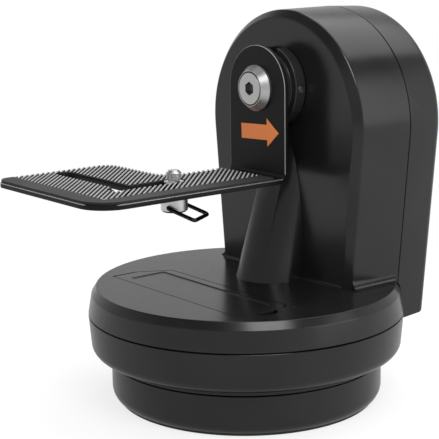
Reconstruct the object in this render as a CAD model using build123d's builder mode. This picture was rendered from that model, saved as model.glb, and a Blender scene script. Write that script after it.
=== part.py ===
"""Motorized pan tilt head for a camera.

A round base turns on a fixed foot about the pan axis. Its tower carries the tilt shaft, and the shaft
carries a steel bracket with a ribbed platform and a captive camera screw.
Millimetres, +Z up. The origin is on the pan axis in the plane the foot stands on. +X is the way the
lens looks, and +Y is the back of the head.
"""
from build123d import *
import math
import os

os.makedirs("parts", exist_ok=True)

# Fits and clearances
seam_gap = 0.3        # open seam between two mouldings
skin_gap = 0.4        # fixed foot to turning base, and moving edges to their frames
thrust_gap = 0.2      # flat faces that slide past each other
run_gap = 0.05        # shaft in its bush, on the radius
seat_gap = 0.1        # loose seat of one moulding in another
press_gap = 0.02      # what is pressed or clamped on, on the radius

# Turning base
neck_z = 17.3         # underside, at the seam above the drum
neck_h = 2.5          # heights of the outline's steps from there up
belly_h = 5.0
low_wall_h = 11.8
top_wall_h = 8.7
shoulder_h = 3.2
groove_r = 66.0       # widest, at the seam
neck_in = 9.0         # how far inside the widest line the outline's corners stand
step_in = 6.6
wall_low_in = 1.0
shoulder_in = 1.5
deck_in = 3.6
neck_r = groove_r - neck_in
step_z = neck_z + neck_h              # underside of the wide part
step_r = groove_r - step_in           # where the underside starts to round up
wall_low_r = groove_r - wall_low_in
wall_low_z = step_z + belly_h
groove_z = wall_low_z + low_wall_h
shoulder_edge_r = groove_r - shoulder_in
shoulder_edge_z = groove_z + top_wall_h
deck_r = groove_r - deck_in
deck_z = shoulder_edge_z + shoulder_h
shell = 2.5           # wall of every large moulding
post_r = 3.6
post_in = 7.0
post_ring_r = neck_r - post_in
post_h = 10.2
post_seat_z = step_z + post_h         # where the two housings' posts meet
post_angles = (25, 155, 245, 295)

# Fixed foot, turned about the pan axis
drum_in = 0.2
drum_r = neck_r - drum_in
drum_low_in = 2.6
drum_low_r = drum_r - drum_low_in     # where the rounded lower edge ends
drum_low_z = 1.0
drum_round_z = 5.3    # where the rounded lower edge begins
drum_wall = 2.6
drum_floor = 3.0
foot_ring_w = 7.0
foot_ring_sink = 1.4
hub_r = 9.0
shoulder_r = 14.0
washer_t = 1.2
retainer_r = 12.4

# Tower, as seen from the front
tower_r = 47.2        # at the seam between its two shells
tower_rise = 64.7
tower_z = deck_z + tower_rise         # centre of the round top
tower_lean = 5.5      # the sides close in by this many degrees towards the foot
back_over = 2.0       # how far the back stands out behind the base
back_depth = 19.5
tower_depth = 29.0
back_y = groove_r + back_over
seam_y = back_y - back_depth
front_y = seam_y - tower_depth
back_drop = 6.4
back_low_z = groove_z - back_drop
front_draft = 0.8
back_draft = 2.0
edge_chamfer = 3.0
back_round = 4.0

# Duct that leans back into the tower's face
duct_foot_out = 5.6
duct_foot_y = front_y - duct_foot_out
duct_foot_r = 14.5
duct_top_in = 14.5
duct_top_y = front_y + duct_top_in
duct_top_down = 10.8  # its end stays inside the tower's front wall
duct_top_r = 12.5

# Tilt axis, along Y
tilt_rise = 15.6
tilt_z = tower_z + tilt_rise
duct_top_z = tilt_z - duct_top_down
tilt_limit = 15.0
shaft_r = 5.0
shaft_past_frame = 6.0
hub_disc_r = 14.0
hub_rim_r = 16.7
hub_rim_l = 5.6
hub_rim_y = front_y - hub_rim_l
hub_notch_half = 4.75
hub_notch_deep = 3.2
grub_out = 3.0
grub_y = front_y - grub_out
dog_r = 1.25
dog_x = 6.5
bush_r = 8.0
bush_flange_r = 10.0
bush_flange_t = 1.2
bush_in = 1.0
bush_front_l = 5.0
bush_front_y = front_y + bush_in
bush_front_end_y = bush_front_y + bush_front_l
bush_back_l = 3.5
bush_boss_r = 11.0

# Bracket and platform
bracket_out = 12.4
bracket_y = front_y - bracket_out       # front face of the upright leg
bracket_t = 2.0
bracket_half = 17.5
bend_r = 1.6
plate_drop = 37.7
plate_z = tilt_z - plate_drop         # underside
plate_left = -58.7
plate_l = 90.9
plate_front = bracket_y - plate_l
plate_inner = -27.2   # inner edge of the wide part
corner_near_r = 13.0
corner_far_r = 6.0
corner_swell_r = 7.0
corner_throat_r = 9.0
pad_t = 1.1
pad_inset = 0.5
pad_end = 5.6
pad_end_y = bracket_y - pad_end
slot_half = 3.3
slot_pad_margin = 0.8
slot_x = -6.0         # slot along Y
slot_near = 38.3
slot_near_y = bracket_y - slot_near
slot_far = 66.1
slot_far_y = bracket_y - slot_far
cross_slot_in = 4.2
cross_slot_y = slot_far_y + cross_slot_in
cross_slot_end_x = -50.7

# Arrow on the bracket, pointing the way the lens looks
arrow_tail_x = -9.9
arrow_tip_x = 13.7
arrow_drop = 18.0
arrow_z = tilt_z - arrow_drop
arrow_body_h = 6.3
arrow_head_h = 11.6
arrow_head_l = 7.2
arrow_t = 0.15

# Pivot screw
screw_r = 3.0
screw_head_r = 7.4
screw_flange_r = 9.5
screw_head_t = 4.0
screw_rim_t = 1.0
hex_across = 5.0
hex_depth = 2.6
screw_l = 14.0

# Camera screw
camera_screw_r = 3.175
screw_neck_r = 2.3    # plain neck, slimmer than the thread's root, that slides in the slot
camera_screw_in = 0.5
camera_screw_y = slot_near_y - camera_screw_in
camera_screw_rise = 7.4
camera_screw_top = plate_z + camera_screw_rise
knob_r = 5.5
knob_drop = 9.5
knob_low_z = plate_z - knob_drop
clip_t = 0.7
clip_groove = 0.6     # how deep the clip's groove goes into the neck
clip_mouth = 3.0      # narrower than the groove, so that the clip snaps on
clip_r = 3.95         # wider than the plate's slot, inside the pad's
slide_washer_t = 0.8
slide_washer_r = 6.4
ring_wire_r = 0.8
ring_half = 7.0
ring_reach = 12.5
ring_droop = 20.0     # degrees below level
ring_heading = 30.0   # degrees from +X towards +Y

# Gears
stop_room = 8.4       # between the gears' reach and the drum's wall, where the stop peg stands
sweep_gap = 2.0       # room past the pinion's pitch circle as it walks round
tilt_module = 1.0
gear_teeth = 60
pinion_teeth = 15
addendum = 0.8
dedendum = 1.05
gear_screw_l = 3.5    # how deep the big gear's screws go into their posts
pressure_angle = 20.0
backlash = 0.2
gear_t = 5.0
pinion_shaft_r = 2.0
pan_gear_z = 8.0
pan_limit = 165.0
pan_drive_angle = 120.0
tilt_gear_in = 6.5
tilt_gear_y = front_y + tilt_gear_in
sector_half = 30.0

# Gearmotors
gearbox_r = 12.5
gearbox_l = 12.0
motor_r = 10.0
motor_l = 13.5
motor_boss_r = 4.5
motor_boss_l = 2.3
ear_reach = 17.0
ear_half = 4.0
ear_t = 2.0
pinion_collar_r = 3.6
pinion_shaft_in = 6.0

# Frame of the tilt drive
frame_in = 13.5
frame_y = front_y + frame_in
shaft_end_y = frame_y + shaft_past_frame
bush_back_end_y = frame_y + bush_back_l
frame_t = 1.5
frame_half_x = 28.0
frame_drop = 16.3
frame_rise = 14.2
frame_high_z = tilt_z + frame_rise
frame_screw_x = 23.5
frame_screw_in = 4.5
frame_screw_high_z = frame_high_z - frame_screw_in
stop_pin_r = 1.5
stop_pin_ring_r = 26.0

# Back cover fixings and fittings
back_screw_low_in = 12.2
back_screw_high_in = 14.2
back_screw_low_rise = 19.5
back_screw_high_rise = 21.8
back_low_x = tower_r - back_screw_low_in
back_high_x = tower_r - back_screw_high_in
back_screw_spots = ((-back_low_x, deck_z + back_screw_low_rise), (back_low_x, deck_z + back_screw_low_rise),
                    (-back_high_x, tower_z + back_screw_high_rise), (back_high_x, tower_z + back_screw_high_rise))
back_post_r = 4.0
back_screw_sink = 8.0
board_in = 10.5
board_y = back_y - board_in
board_t = 1.6
board_half_x = 26.0
board_spot_in = 4.0
board_post_r = 3.0
board_rise = 4.5      # above the deck
board_gap = 2.3       # below the tilt motor
board_low_z = deck_z + board_rise
remote_x = 0.0
inlet_bore_r = 2.75
remote_bore_r = 1.75
socket_r = 4.0
inlet_lip = 0.5       # the inlet's body is this much wider each side

# Battery door and bay
door_left_in = 7.048  # from the deck's edge, along the door's front edge
door_right_in = 7.248
door_w = 25.2
door_cut_x = 8.0
door_cut_y = 14.0
door_corner = 3.0
door_t = 1.5
panel_margin_x = 7.0
panel_margin_y = 3.8
panel_sink = 0.4
notch_r = 5.0
cell_r = 5.25
cell_l = 43.7
cell_nub_r = 1.9
cell_nub_l = 0.8
cell_pitch = 11.0
bay_wall = 1.2
bay_gap = 0.7         # between the bay and the pan bearing's retainer
bay_floor = 1.2
bay_ear_x = 31.0
contact_t = 0.4
spring_l = 3.6
tab_reach = 3.0
tab_half = 1.8
tab_in = 2.4
tab_pitch = 6.4
latch_half = 4.0
latch_root = 3.0
latch_in = 1.2
latch_reach = 1.0
latch_h = 3.0
tab_t = 1.3

# Worked out from the sizes above
turn_floor = step_z - neck_z
deck_low_z = deck_z - shell
drum_top_z = neck_z - skin_gap
drum_inner_r = drum_r - drum_wall
gear_module = (drum_inner_r - stop_room) / (gear_teeth / 2 + pinion_teeth + addendum)
drum_floor_z = drum_low_z + drum_floor
shoulder_z = neck_z - thrust_gap - washer_t
hub_top_z = step_z + 4.2
pitch_r = gear_module * gear_teeth / 2
pinion_pitch_r = gear_module * pinion_teeth / 2
gear_distance = pitch_r + pinion_pitch_r
pinion_ratio = gear_teeth / pinion_teeth
front_inner_y = front_y + shell
back_inner_y = back_y - shell
bracket_back_y = bracket_y + bracket_t
plate_top_z = plate_z + bracket_t
pad_top_z = plate_top_z + pad_t
pan_drive_x = gear_distance * math.cos(math.radians(pan_drive_angle))
pan_drive_y = gear_distance * math.sin(math.radians(pan_drive_angle))
tilt_sector_r = tilt_module * gear_teeth / 2
tilt_drive_z = tilt_z - tilt_sector_r - tilt_module * pinion_teeth / 2
frame_low_z = tilt_drive_z - frame_drop
board_high_z = tilt_drive_z - motor_r - board_gap
fitting_z = (board_low_z + board_high_z) / 2
inlet_half_x = socket_r + inlet_lip
inlet_x = board_spot_in + board_post_r + skin_gap + inlet_half_x - board_half_x
frame_screw_low_z = frame_low_z + frame_screw_in
ring_hinge_z = knob_low_z + 2.4
knob_top_z = plate_z - slide_washer_t - seat_gap
bay_half_x = (2 * contact_t + spring_l + cell_l + cell_nub_l) / 2
bay_half_y = cell_pitch / 2 + cell_r + 0.15
door_mid_y = -retainer_r - bay_gap - bay_wall - bay_half_y
door_front = door_mid_y - door_w / 2
door_back = door_mid_y + door_w / 2
door_chord = math.sqrt(deck_r ** 2 - door_front ** 2)
door_left = door_left_in - door_chord
door_right = door_chord - door_right_in
tab_spots = (door_front + tab_in, door_front + tab_in + tab_pitch)
bay_low_z = step_z + bay_floor
door_low_z = deck_z - door_t
latch_x = door_right - latch_in
latch_z = deck_low_z - thrust_gap   # the hooks and the latch catch under the deck here
hinge_r = door_t / 2          # the door's left edge is rounded about its hinge axis
hinge_x = door_left + hinge_r
hinge_z = door_low_z + hinge_r
M3_R = 1.5
M3_HEAD_R = 2.8
M3_HEAD_T = 1.8
tripod_bore_r = 2.6
tripod_bush_r = 6.0
tripod_bush_l = 11.0


def at_depth(y):
    """Upright plane at depth y: its x is X, its y is Z, and it faces the front."""
    return Plane.XZ.offset(-y)


def export(part, name):
    """Name a finished piece and write it."""
    part.label = name
    export_step(part, "parts/" + name + ".step")


def tower_outline(y, inset, low_z):
    """Upright face: sides that lean in towards the foot, and a round top."""
    lean = math.radians(tower_lean)
    r = tower_r - inset
    touch_x = r * math.cos(lean)
    touch_z = tower_z - r * math.sin(lean)
    low_x = (r + (low_z - tower_z) * math.sin(lean)) / math.cos(lean)
    with BuildSketch(at_depth(y)) as face:
        with BuildLine():
            Polyline((-touch_x, touch_z), (-low_x, low_z), (low_x, low_z), (touch_x, touch_z))
            ThreePointArc((touch_x, touch_z), (0, tower_z + r), (-touch_x, touch_z))
        make_face()
    return face.sketch


def base_profile(grow):
    """Half section of the turning base's outside, from the neck to the deck, grown by a clearance."""
    with BuildSketch(Plane.XZ) as face:
        with BuildLine():
            Polyline((0, neck_z), (neck_r + grow, neck_z), (neck_r + grow, step_z - grow),
                     (step_r, step_z - grow))
            TangentArc((step_r, step_z - grow), (wall_low_r + grow, wall_low_z), tangent=(1, 0))
            Polyline((wall_low_r + grow, wall_low_z), (groove_r + grow, groove_z),
                     (shoulder_edge_r + grow, shoulder_edge_z), (deck_r + grow, deck_z + grow),
                     (0, deck_z + grow), (0, neck_z))
        make_face()
    return face.sketch


def flank_angle(radius, base_r, half_at_pitch, pitch):
    """Half the angle that a tooth fills at a radius, on an involute flank."""
    def involute(r):
        turn = math.acos(min(1.0, base_r / r))
        return math.tan(turn) - turn
    return half_at_pitch + involute(pitch) - involute(max(radius, base_r))


def gear_face(module, teeth, gap_heading, bore_r):
    """Spur gear with involute flanks and a bore, with a tooth gap centred on a heading in degrees."""
    pitch = module * teeth / 2
    base_r = pitch * math.cos(math.radians(pressure_angle))
    root_r = pitch - dedendum * module
    tip_r = pitch + addendum * module
    half = (math.pi * module / 2 - backlash) / 2 / pitch
    levels = [root_r, max(root_r, base_r) + 0.05, pitch, tip_r]
    step = 2 * math.pi / teeth
    points = []
    for tooth in range(teeth):
        middle = math.radians(gap_heading) + (tooth + 0.5) * step
        rising = [(r, middle - flank_angle(r, base_r, half, pitch)) for r in levels]
        falling = [(r, middle + flank_angle(r, base_r, half, pitch)) for r in reversed(levels)]
        points += [(r * math.cos(a), r * math.sin(a)) for r, a in rising + falling]
    with BuildSketch() as face:
        with BuildLine():
            Polyline(*points, close=True)
        make_face()
        if bore_r:
            Circle(bore_r, mode=Mode.SUBTRACT)
    return face.sketch


def wedge(heading, half, radius):
    """Pie slice about the origin, symmetric about a heading, all in degrees."""
    first, last = math.radians(heading - half), math.radians(heading + half)
    middle = math.radians(heading)
    with BuildSketch() as face:
        with BuildLine():
            Polyline((radius * math.cos(last), radius * math.sin(last)), (0, 0),
                     (radius * math.cos(first), radius * math.sin(first)))
            ThreePointArc((radius * math.cos(first), radius * math.sin(first)),
                          (radius * math.cos(middle), radius * math.sin(middle)),
                          (radius * math.cos(last), radius * math.sin(last)))
        make_face()
    return face.sketch


def plate_outline(inset, end_y):
    """Platform seen from above, on Z = 0: a wide camera table that narrows to the bracket's width."""
    near_r = corner_near_r - inset
    far_r = corner_far_r - inset
    swell_r = corner_swell_r - inset
    throat_r = corner_throat_r + inset
    left, right = plate_left + inset, bracket_half - inset
    front, inner = plate_front + inset, plate_inner - inset
    throat = -bracket_half + inset
    with BuildSketch() as face:
        with BuildLine():
            FilletPolyline((right, end_y), (right, front), (left, front), (left, inner),
                           (throat, inner), (throat, end_y), radius=[near_r, far_r, swell_r, throat_r])
            Line((throat, end_y), (right, end_y))
        make_face()
    return face.sketch


def slot_outline(margin):
    """The platform's two joined slots, on Z = 0."""
    half = slot_half + margin
    with BuildSketch() as face:
        with Locations((slot_x, (slot_near_y + slot_far_y) / 2)):
            SlotCenterToCenter(slot_near_y - slot_far_y, 2 * half, rotation=90)
        with Locations(((slot_x + cross_slot_end_x) / 2, cross_slot_y)):
            SlotCenterToCenter(slot_x - cross_slot_end_x, 2 * half)
    return face.sketch


def door_outline(grow):
    """Battery door seen from above, on Z = 0, with its far left corner cut off."""
    left, right = door_left - grow, door_right + grow
    front, back = door_front - grow, door_back + grow
    with BuildSketch() as face:
        with BuildLine():
            Polyline((left, front), (right - door_corner, front), (right, front + door_corner),
                     (right, back - door_corner), (right - door_corner, back),
                     (left + door_cut_x, back), (left, back - door_cut_y), close=True)
        make_face()
    return face.sketch


def polar(radius, angle):
    """Point about the pan axis, from a radius and an angle in degrees."""
    return (radius * math.cos(math.radians(angle)), radius * math.sin(math.radians(angle)))


# Fixed foot: a round tub with a hub for the pan bearing and three posts for the big gear
gear_screw_ring_r = 22.0
gear_screw_angles = (30, 150, 270)
pinion_sweep_r = gear_distance + pinion_pitch_r + sweep_gap
stop_ring_mid_r = (drum_inner_r + pinion_sweep_r) / 2
stop_peg_r = (drum_inner_r - pinion_sweep_r) / 2 - skin_gap
stop_lug_angle = -90.0
stop_overlap_z = 12.0
with BuildPart() as base_drum:
    with BuildSketch(Plane.XZ):
        with BuildLine():
            Polyline((0, drum_floor_z), (0, drum_low_z), (drum_low_r, drum_low_z))
            TangentArc((drum_r, drum_round_z), (drum_low_r, drum_low_z), tangent=(0, -1))
            Polyline((drum_r, drum_round_z), (drum_r, drum_top_z), (drum_inner_r, drum_top_z),
                     (drum_inner_r, drum_floor_z), (0, drum_floor_z))
        make_face()
    revolve(axis=Axis.Z)
    with BuildSketch(Plane.XY.offset(drum_floor_z)):
        Circle(shoulder_r)
    extrude(amount=shoulder_z - drum_floor_z)
    with BuildSketch(Plane.XY.offset(shoulder_z)):
        Circle(hub_r)
    extrude(amount=hub_top_z - shoulder_z)
    with BuildSketch(Plane.XY.offset(drum_floor_z)):
        with Locations(*[polar(gear_screw_ring_r, a) for a in gear_screw_angles]):
            Circle(post_r)
    extrude(amount=pan_gear_z - drum_floor_z)
    with BuildSketch(Plane.XY.offset(drum_floor_z)):
        with Locations(polar(stop_ring_mid_r, stop_lug_angle + 180)):
            Circle(stop_peg_r)
    extrude(amount=stop_overlap_z - drum_floor_z)
    with BuildSketch(Plane.XY.offset(drum_low_z)):
        Circle(drum_low_r - seat_gap)
        Circle(drum_low_r - foot_ring_w, mode=Mode.SUBTRACT)
    extrude(amount=foot_ring_sink, mode=Mode.SUBTRACT)
    with BuildSketch(Plane.XY.offset(drum_low_z)):
        Circle(tripod_bush_r + press_gap)
    extrude(amount=tripod_bush_l - drum_low_z, mode=Mode.SUBTRACT)
    with BuildSketch(Plane.XY.offset(hub_top_z)):
        Circle(2.5 + press_gap)
    extrude(amount=-8.0, mode=Mode.SUBTRACT)
    with BuildSketch(Plane.XY.offset(pan_gear_z)):
        with Locations(*[polar(gear_screw_ring_r, a) for a in gear_screw_angles]):
            Circle(M3_R + press_gap)
    extrude(amount=-gear_screw_l, mode=Mode.SUBTRACT)
export(base_drum.part, "base_drum")

# Rubber foot, pressed into the groove under the drum
with BuildPart() as foot_ring:
    with BuildSketch():
        Circle(drum_low_r - 2 * seat_gap)
        Circle(drum_low_r - foot_ring_w + seat_gap, mode=Mode.SUBTRACT)
    extrude(amount=drum_low_z + foot_ring_sink)
export(foot_ring.part, "foot_ring")

# Brass bush for the tripod's screw, its flange level with the foot
with BuildPart() as tripod_bush:
    with BuildSketch():
        Circle(tripod_bush_r + 2.5)
    extrude(amount=drum_low_z)
    with BuildSketch():
        Circle(tripod_bush_r)
    extrude(amount=tripod_bush_l)
    with BuildSketch():
        Circle(tripod_bore_r)
    extrude(amount=tripod_bush_l - 1.0, mode=Mode.SUBTRACT)
export(tripod_bush.part, "tripod_bush")

# Big gear, which never turns: the pinion walks round it
with BuildPart() as pan_gear:
    with BuildSketch(Plane.XY.offset(pan_gear_z)):
        add(gear_face(gear_module, gear_teeth, pan_drive_angle, shoulder_r + seam_gap))
        with Locations(*[polar(gear_screw_ring_r, a) for a in gear_screw_angles]):
            Circle(M3_R + seat_gap, mode=Mode.SUBTRACT)
    extrude(amount=gear_t)
export(pan_gear.part, "pan_gear")

with BuildPart() as pan_gear_screws:
    with BuildSketch(Plane.XY.offset(pan_gear_z - gear_screw_l)):
        with Locations(*[polar(gear_screw_ring_r, a) for a in gear_screw_angles]):
            Circle(M3_R)
    extrude(amount=gear_t + gear_screw_l)
    with BuildSketch(Plane.XY.offset(pan_gear_z + gear_t)):
        with Locations(*[polar(gear_screw_ring_r, a) for a in gear_screw_angles]):
            Circle(M3_HEAD_R)
    extrude(amount=M3_HEAD_T)
    with BuildSketch(Plane.XY.offset(pan_gear_z + gear_t + M3_HEAD_T)):
        with Locations(*[polar(gear_screw_ring_r, a) for a in gear_screw_angles]):
            RegularPolygon(1.2, 6)
    extrude(amount=-1.0, mode=Mode.SUBTRACT)
export(pan_gear_screws.part, "pan_gear_screws")

# Thrust washer, retainer and screw that hold the turning base on the hub
with BuildPart() as pan_washer:
    with BuildSketch(Plane.XY.offset(shoulder_z)):
        Circle(shoulder_r - seat_gap)
        Circle(hub_r + seat_gap, mode=Mode.SUBTRACT)
    extrude(amount=washer_t)
export(pan_washer.part, "pan_washer")

retainer_t = 1.6
hub_screw_r = 2.5
hub_screw_l = 7.5
with BuildPart() as pan_retainer:
    with BuildSketch(Plane.XY.offset(hub_top_z)):
        Circle(retainer_r)
        Circle(hub_screw_r + seat_gap, mode=Mode.SUBTRACT)
    extrude(amount=retainer_t)
export(pan_retainer.part, "pan_retainer")

with BuildPart() as pan_retainer_screw:
    with BuildSketch(Plane.XY.offset(hub_top_z - hub_screw_l)):
        Circle(hub_screw_r)
    extrude(amount=hub_screw_l + retainer_t)
    with BuildSketch(Plane.XY.offset(hub_top_z + retainer_t)):
        Circle(1.8 * hub_screw_r)
    extrude(amount=1.1 * hub_screw_r)
    with BuildSketch(Plane.XY.offset(hub_top_z + retainer_t + 1.1 * hub_screw_r)):
        RegularPolygon(2.0, 6)
    extrude(amount=-1.6, mode=Mode.SUBTRACT)
export(pan_retainer_screw.part, "pan_retainer_screw")

# Lower housing: turns on the hub and carries the motor and the battery bay
ear_angle = pan_drive_angle + 90
ear_dx = ear_reach * math.cos(math.radians(ear_angle))
ear_dy = ear_reach * math.sin(math.radians(ear_angle))
floor_screw_spots = [(pan_drive_x + ear_dx, pan_drive_y + ear_dy),
                     (pan_drive_x - ear_dx, pan_drive_y - ear_dy),
                     (-bay_ear_x, door_mid_y), (bay_ear_x, door_mid_y)]
floor_boss_l = 2.5
stop_lug_half = 180 - pan_limit - math.degrees(math.asin(stop_peg_r / stop_ring_mid_r)) - 0.4
post_spots = [polar(post_ring_r, a) for a in post_angles]
head_sink = 2.2
with BuildPart() as turntable_pan:
    with BuildSketch(Plane.XZ):
        add(base_profile(0))
        with Locations((0, groove_z)):
            Rectangle(groove_r + 1, deck_z, align=(Align.MIN, Align.MIN), mode=Mode.SUBTRACT)
        with BuildLine():
            Polyline((0, groove_z), (0, step_z), (neck_r - shell, step_z), (neck_r, step_z + shell),
                     (step_r, step_z + shell), (wall_low_r - shell, wall_low_z + shell / 2),
                     (groove_r - shell, groove_z), close=True)
        make_face(mode=Mode.SUBTRACT)
    revolve(axis=Axis.Z)
    with BuildSketch(Plane.XY.offset(step_z)):
        with Locations(*post_spots):
            Circle(post_r)
    extrude(amount=post_seat_z - step_z)
    with BuildSketch(Plane.XY.offset(step_z)):
        Circle(retainer_r)
    extrude(amount=hub_top_z - thrust_gap - step_z)
    with BuildSketch(Plane.XY.offset(neck_z)):
        with Locations(*floor_screw_spots):
            Circle(post_r)
    extrude(amount=-floor_boss_l)
    with BuildSketch(Plane.XY.offset(neck_z)):
        add(wedge(stop_lug_angle, stop_lug_half, stop_ring_mid_r + stop_peg_r))
        Circle(stop_ring_mid_r - stop_peg_r, mode=Mode.SUBTRACT)
    extrude(amount=-(neck_z - stop_overlap_z + stop_overlap_z / 2))
    with BuildSketch(Plane.XY.offset(neck_z)):
        Circle(hub_r + run_gap)
    extrude(amount=hub_top_z - neck_z, mode=Mode.SUBTRACT)
    with BuildSketch(Plane.XY.offset(neck_z)):
        with Locations((pan_drive_x, pan_drive_y)):
            Circle(motor_boss_r + seat_gap)
    extrude(amount=step_z - neck_z, mode=Mode.SUBTRACT)
    with BuildSketch(Plane.XY.offset(step_z)):
        with Locations(*floor_screw_spots):
            Circle(M3_R + press_gap)
    extrude(amount=-(turn_floor + floor_boss_l), mode=Mode.SUBTRACT)
    with BuildSketch(Plane.XY.offset(neck_z)):
        with Locations(*post_spots):
            Circle(M3_R + seat_gap)
    extrude(amount=post_seat_z - neck_z, mode=Mode.SUBTRACT)
    with BuildSketch(Plane.XY.offset(neck_z)):
        with Locations(*post_spots):
            Circle(M3_HEAD_R + seat_gap)
    extrude(amount=head_sink, mode=Mode.SUBTRACT)
export(turntable_pan.part, "turntable_pan")

# Upper housing: the deck, the tower's front shell and the leaning duct in one moulding
post_hole_l = 6.5
with BuildPart() as turntable_cover:
    with BuildSketch(Plane.XZ):
        add(base_profile(0))
        with Locations((0, groove_z + seam_gap)):
            Rectangle(groove_r + 1, deck_z, align=(Align.MIN, Align.MAX), mode=Mode.SUBTRACT)
        with BuildLine():
            Polyline((0, groove_z), (groove_r - shell, groove_z), (shoulder_edge_r - shell, shoulder_edge_z),
                     (deck_r - shell, deck_low_z), (0, deck_low_z), close=True)
        make_face(mode=Mode.SUBTRACT)
    revolve(axis=Axis.Z)
    add(extrude(tower_outline(seam_y, 0, deck_low_z), amount=seam_y - front_y, dir=(0, -1, 0),
                taper=front_draft, mode=Mode.PRIVATE))
    front_edges = turntable_cover.faces().filter_by(Plane.XZ).sort_by(Axis.Y)[0].edges()
    chamfer(front_edges.filter_by(lambda e: e.center().Z > deck_z), edge_chamfer)
    with BuildSketch(Plane.XY.offset(deck_z)):
        with Locations((0, duct_foot_y)):
            Circle(duct_foot_r)
    with BuildSketch(Plane.XY.offset(duct_top_z)):
        with Locations((0, duct_top_y)):
            Circle(duct_top_r)
    loft()
    add(extrude(tower_outline(seam_y, shell, shoulder_edge_z), amount=seam_y - front_inner_y, dir=(0, -1, 0),
                taper=front_draft, mode=Mode.PRIVATE), mode=Mode.SUBTRACT)
    with BuildSketch(Plane.XY.offset(deck_low_z)):
        with Locations((0, duct_foot_y)):
            Circle(duct_foot_r - shell)
    extrude(amount=shell, mode=Mode.SUBTRACT)
    with BuildSketch(Plane.XY.offset(deck_z)):
        with Locations((0, duct_foot_y)):
            Circle(duct_foot_r - shell)
    with BuildSketch(Plane.XY.offset(duct_top_z - 2 * shell)):
        with Locations((0, duct_top_y)):
            Circle(duct_top_r - shell)
    loft(mode=Mode.SUBTRACT)
    with BuildSketch(Plane.XY.offset(post_seat_z)):
        with Locations(*post_spots):
            Circle(post_r)
    extrude(amount=deck_low_z - post_seat_z)
    with BuildSketch(at_depth(front_inner_y)):
        with Locations(*back_screw_spots):
            Circle(back_post_r)
    extrude(amount=-(seam_y - front_inner_y))
    with BuildSketch(at_depth(front_inner_y)):
        with Locations((-frame_screw_x, frame_screw_low_z), (frame_screw_x, frame_screw_low_z),
                       (-frame_screw_x, frame_screw_high_z), (frame_screw_x, frame_screw_high_z)):
            Circle(post_r)
    extrude(amount=-(frame_y - front_inner_y))
    with BuildSketch(at_depth(front_inner_y)):
        with Locations((0, tilt_z)):
            Circle(bush_boss_r)
    extrude(amount=-(bush_front_end_y - front_inner_y))
    with BuildSketch(at_depth(front_y)):
        with Locations((0, tilt_z)):
            Circle(shaft_r + 2 * seam_gap)
    extrude(amount=-(bush_front_end_y - front_y), mode=Mode.SUBTRACT)
    with BuildSketch(at_depth(bush_front_y)):
        with Locations((0, tilt_z)):
            Circle(bush_r + press_gap)
    extrude(amount=-(bush_front_end_y - bush_front_y), mode=Mode.SUBTRACT)
    with BuildSketch(Plane.XY.offset(door_low_z)):
        add(door_outline(skin_gap))
    extrude(amount=door_t, mode=Mode.SUBTRACT)
    with BuildSketch(Plane.XY.offset(deck_low_z)):
        with Locations((0, door_mid_y)):
            Rectangle(2 * bay_half_x, 2 * bay_half_y)
        for spot in tab_spots:
            with Locations((door_left - skin_gap, spot)):
                Rectangle(2 * tab_reach, 2 * tab_half + 2 * skin_gap, align=(Align.MIN, Align.CENTER))
        with Locations((door_right + skin_gap, door_mid_y)):
            Rectangle(notch_r, 2 * latch_half + 2 * skin_gap, align=(Align.MAX, Align.CENTER))
    extrude(amount=door_low_z - deck_low_z, mode=Mode.SUBTRACT)
    with BuildSketch(Plane.XY.offset(door_low_z)):
        with Locations((door_right, door_mid_y)):
            Circle(notch_r)
    extrude(amount=door_t, mode=Mode.SUBTRACT)
    with BuildSketch(Plane.XY.offset(post_seat_z)):
        with Locations(*post_spots):
            Circle(M3_R + press_gap)
    extrude(amount=post_hole_l, mode=Mode.SUBTRACT)
    with BuildSketch(at_depth(seam_y)):
        with Locations(*back_screw_spots):
            Circle(M3_R + press_gap)
    extrude(amount=post_hole_l + 4, mode=Mode.SUBTRACT)
    with BuildSketch(at_depth(frame_y)):
        with Locations((-frame_screw_x, frame_screw_low_z), (frame_screw_x, frame_screw_low_z),
                       (-frame_screw_x, frame_screw_high_z), (frame_screw_x, frame_screw_high_z)):
            Circle(M3_R + press_gap)
    extrude(amount=post_hole_l, mode=Mode.SUBTRACT)
export(turntable_cover.part, "turntable_cover")

# Back cover: closes the tower and hangs down behind the base
board_spots = [(x, z) for x in (-board_half_x + board_spot_in, board_half_x - board_spot_in)
               for z in (board_low_z + board_spot_in, board_high_z - board_spot_in)]
head_back_y = back_y - back_screw_sink
with BuildPart() as cover_hollow:
    add(extrude(tower_outline(seam_y + seam_gap, shell, back_low_z + shell),
                amount=back_inner_y - seam_y - seam_gap, dir=(0, 1, 0), taper=back_draft,
                mode=Mode.PRIVATE))
    with BuildSketch(Plane.XZ):
        add(base_profile(skin_gap + shell))
    revolve(axis=Axis.Z, mode=Mode.SUBTRACT)

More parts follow.
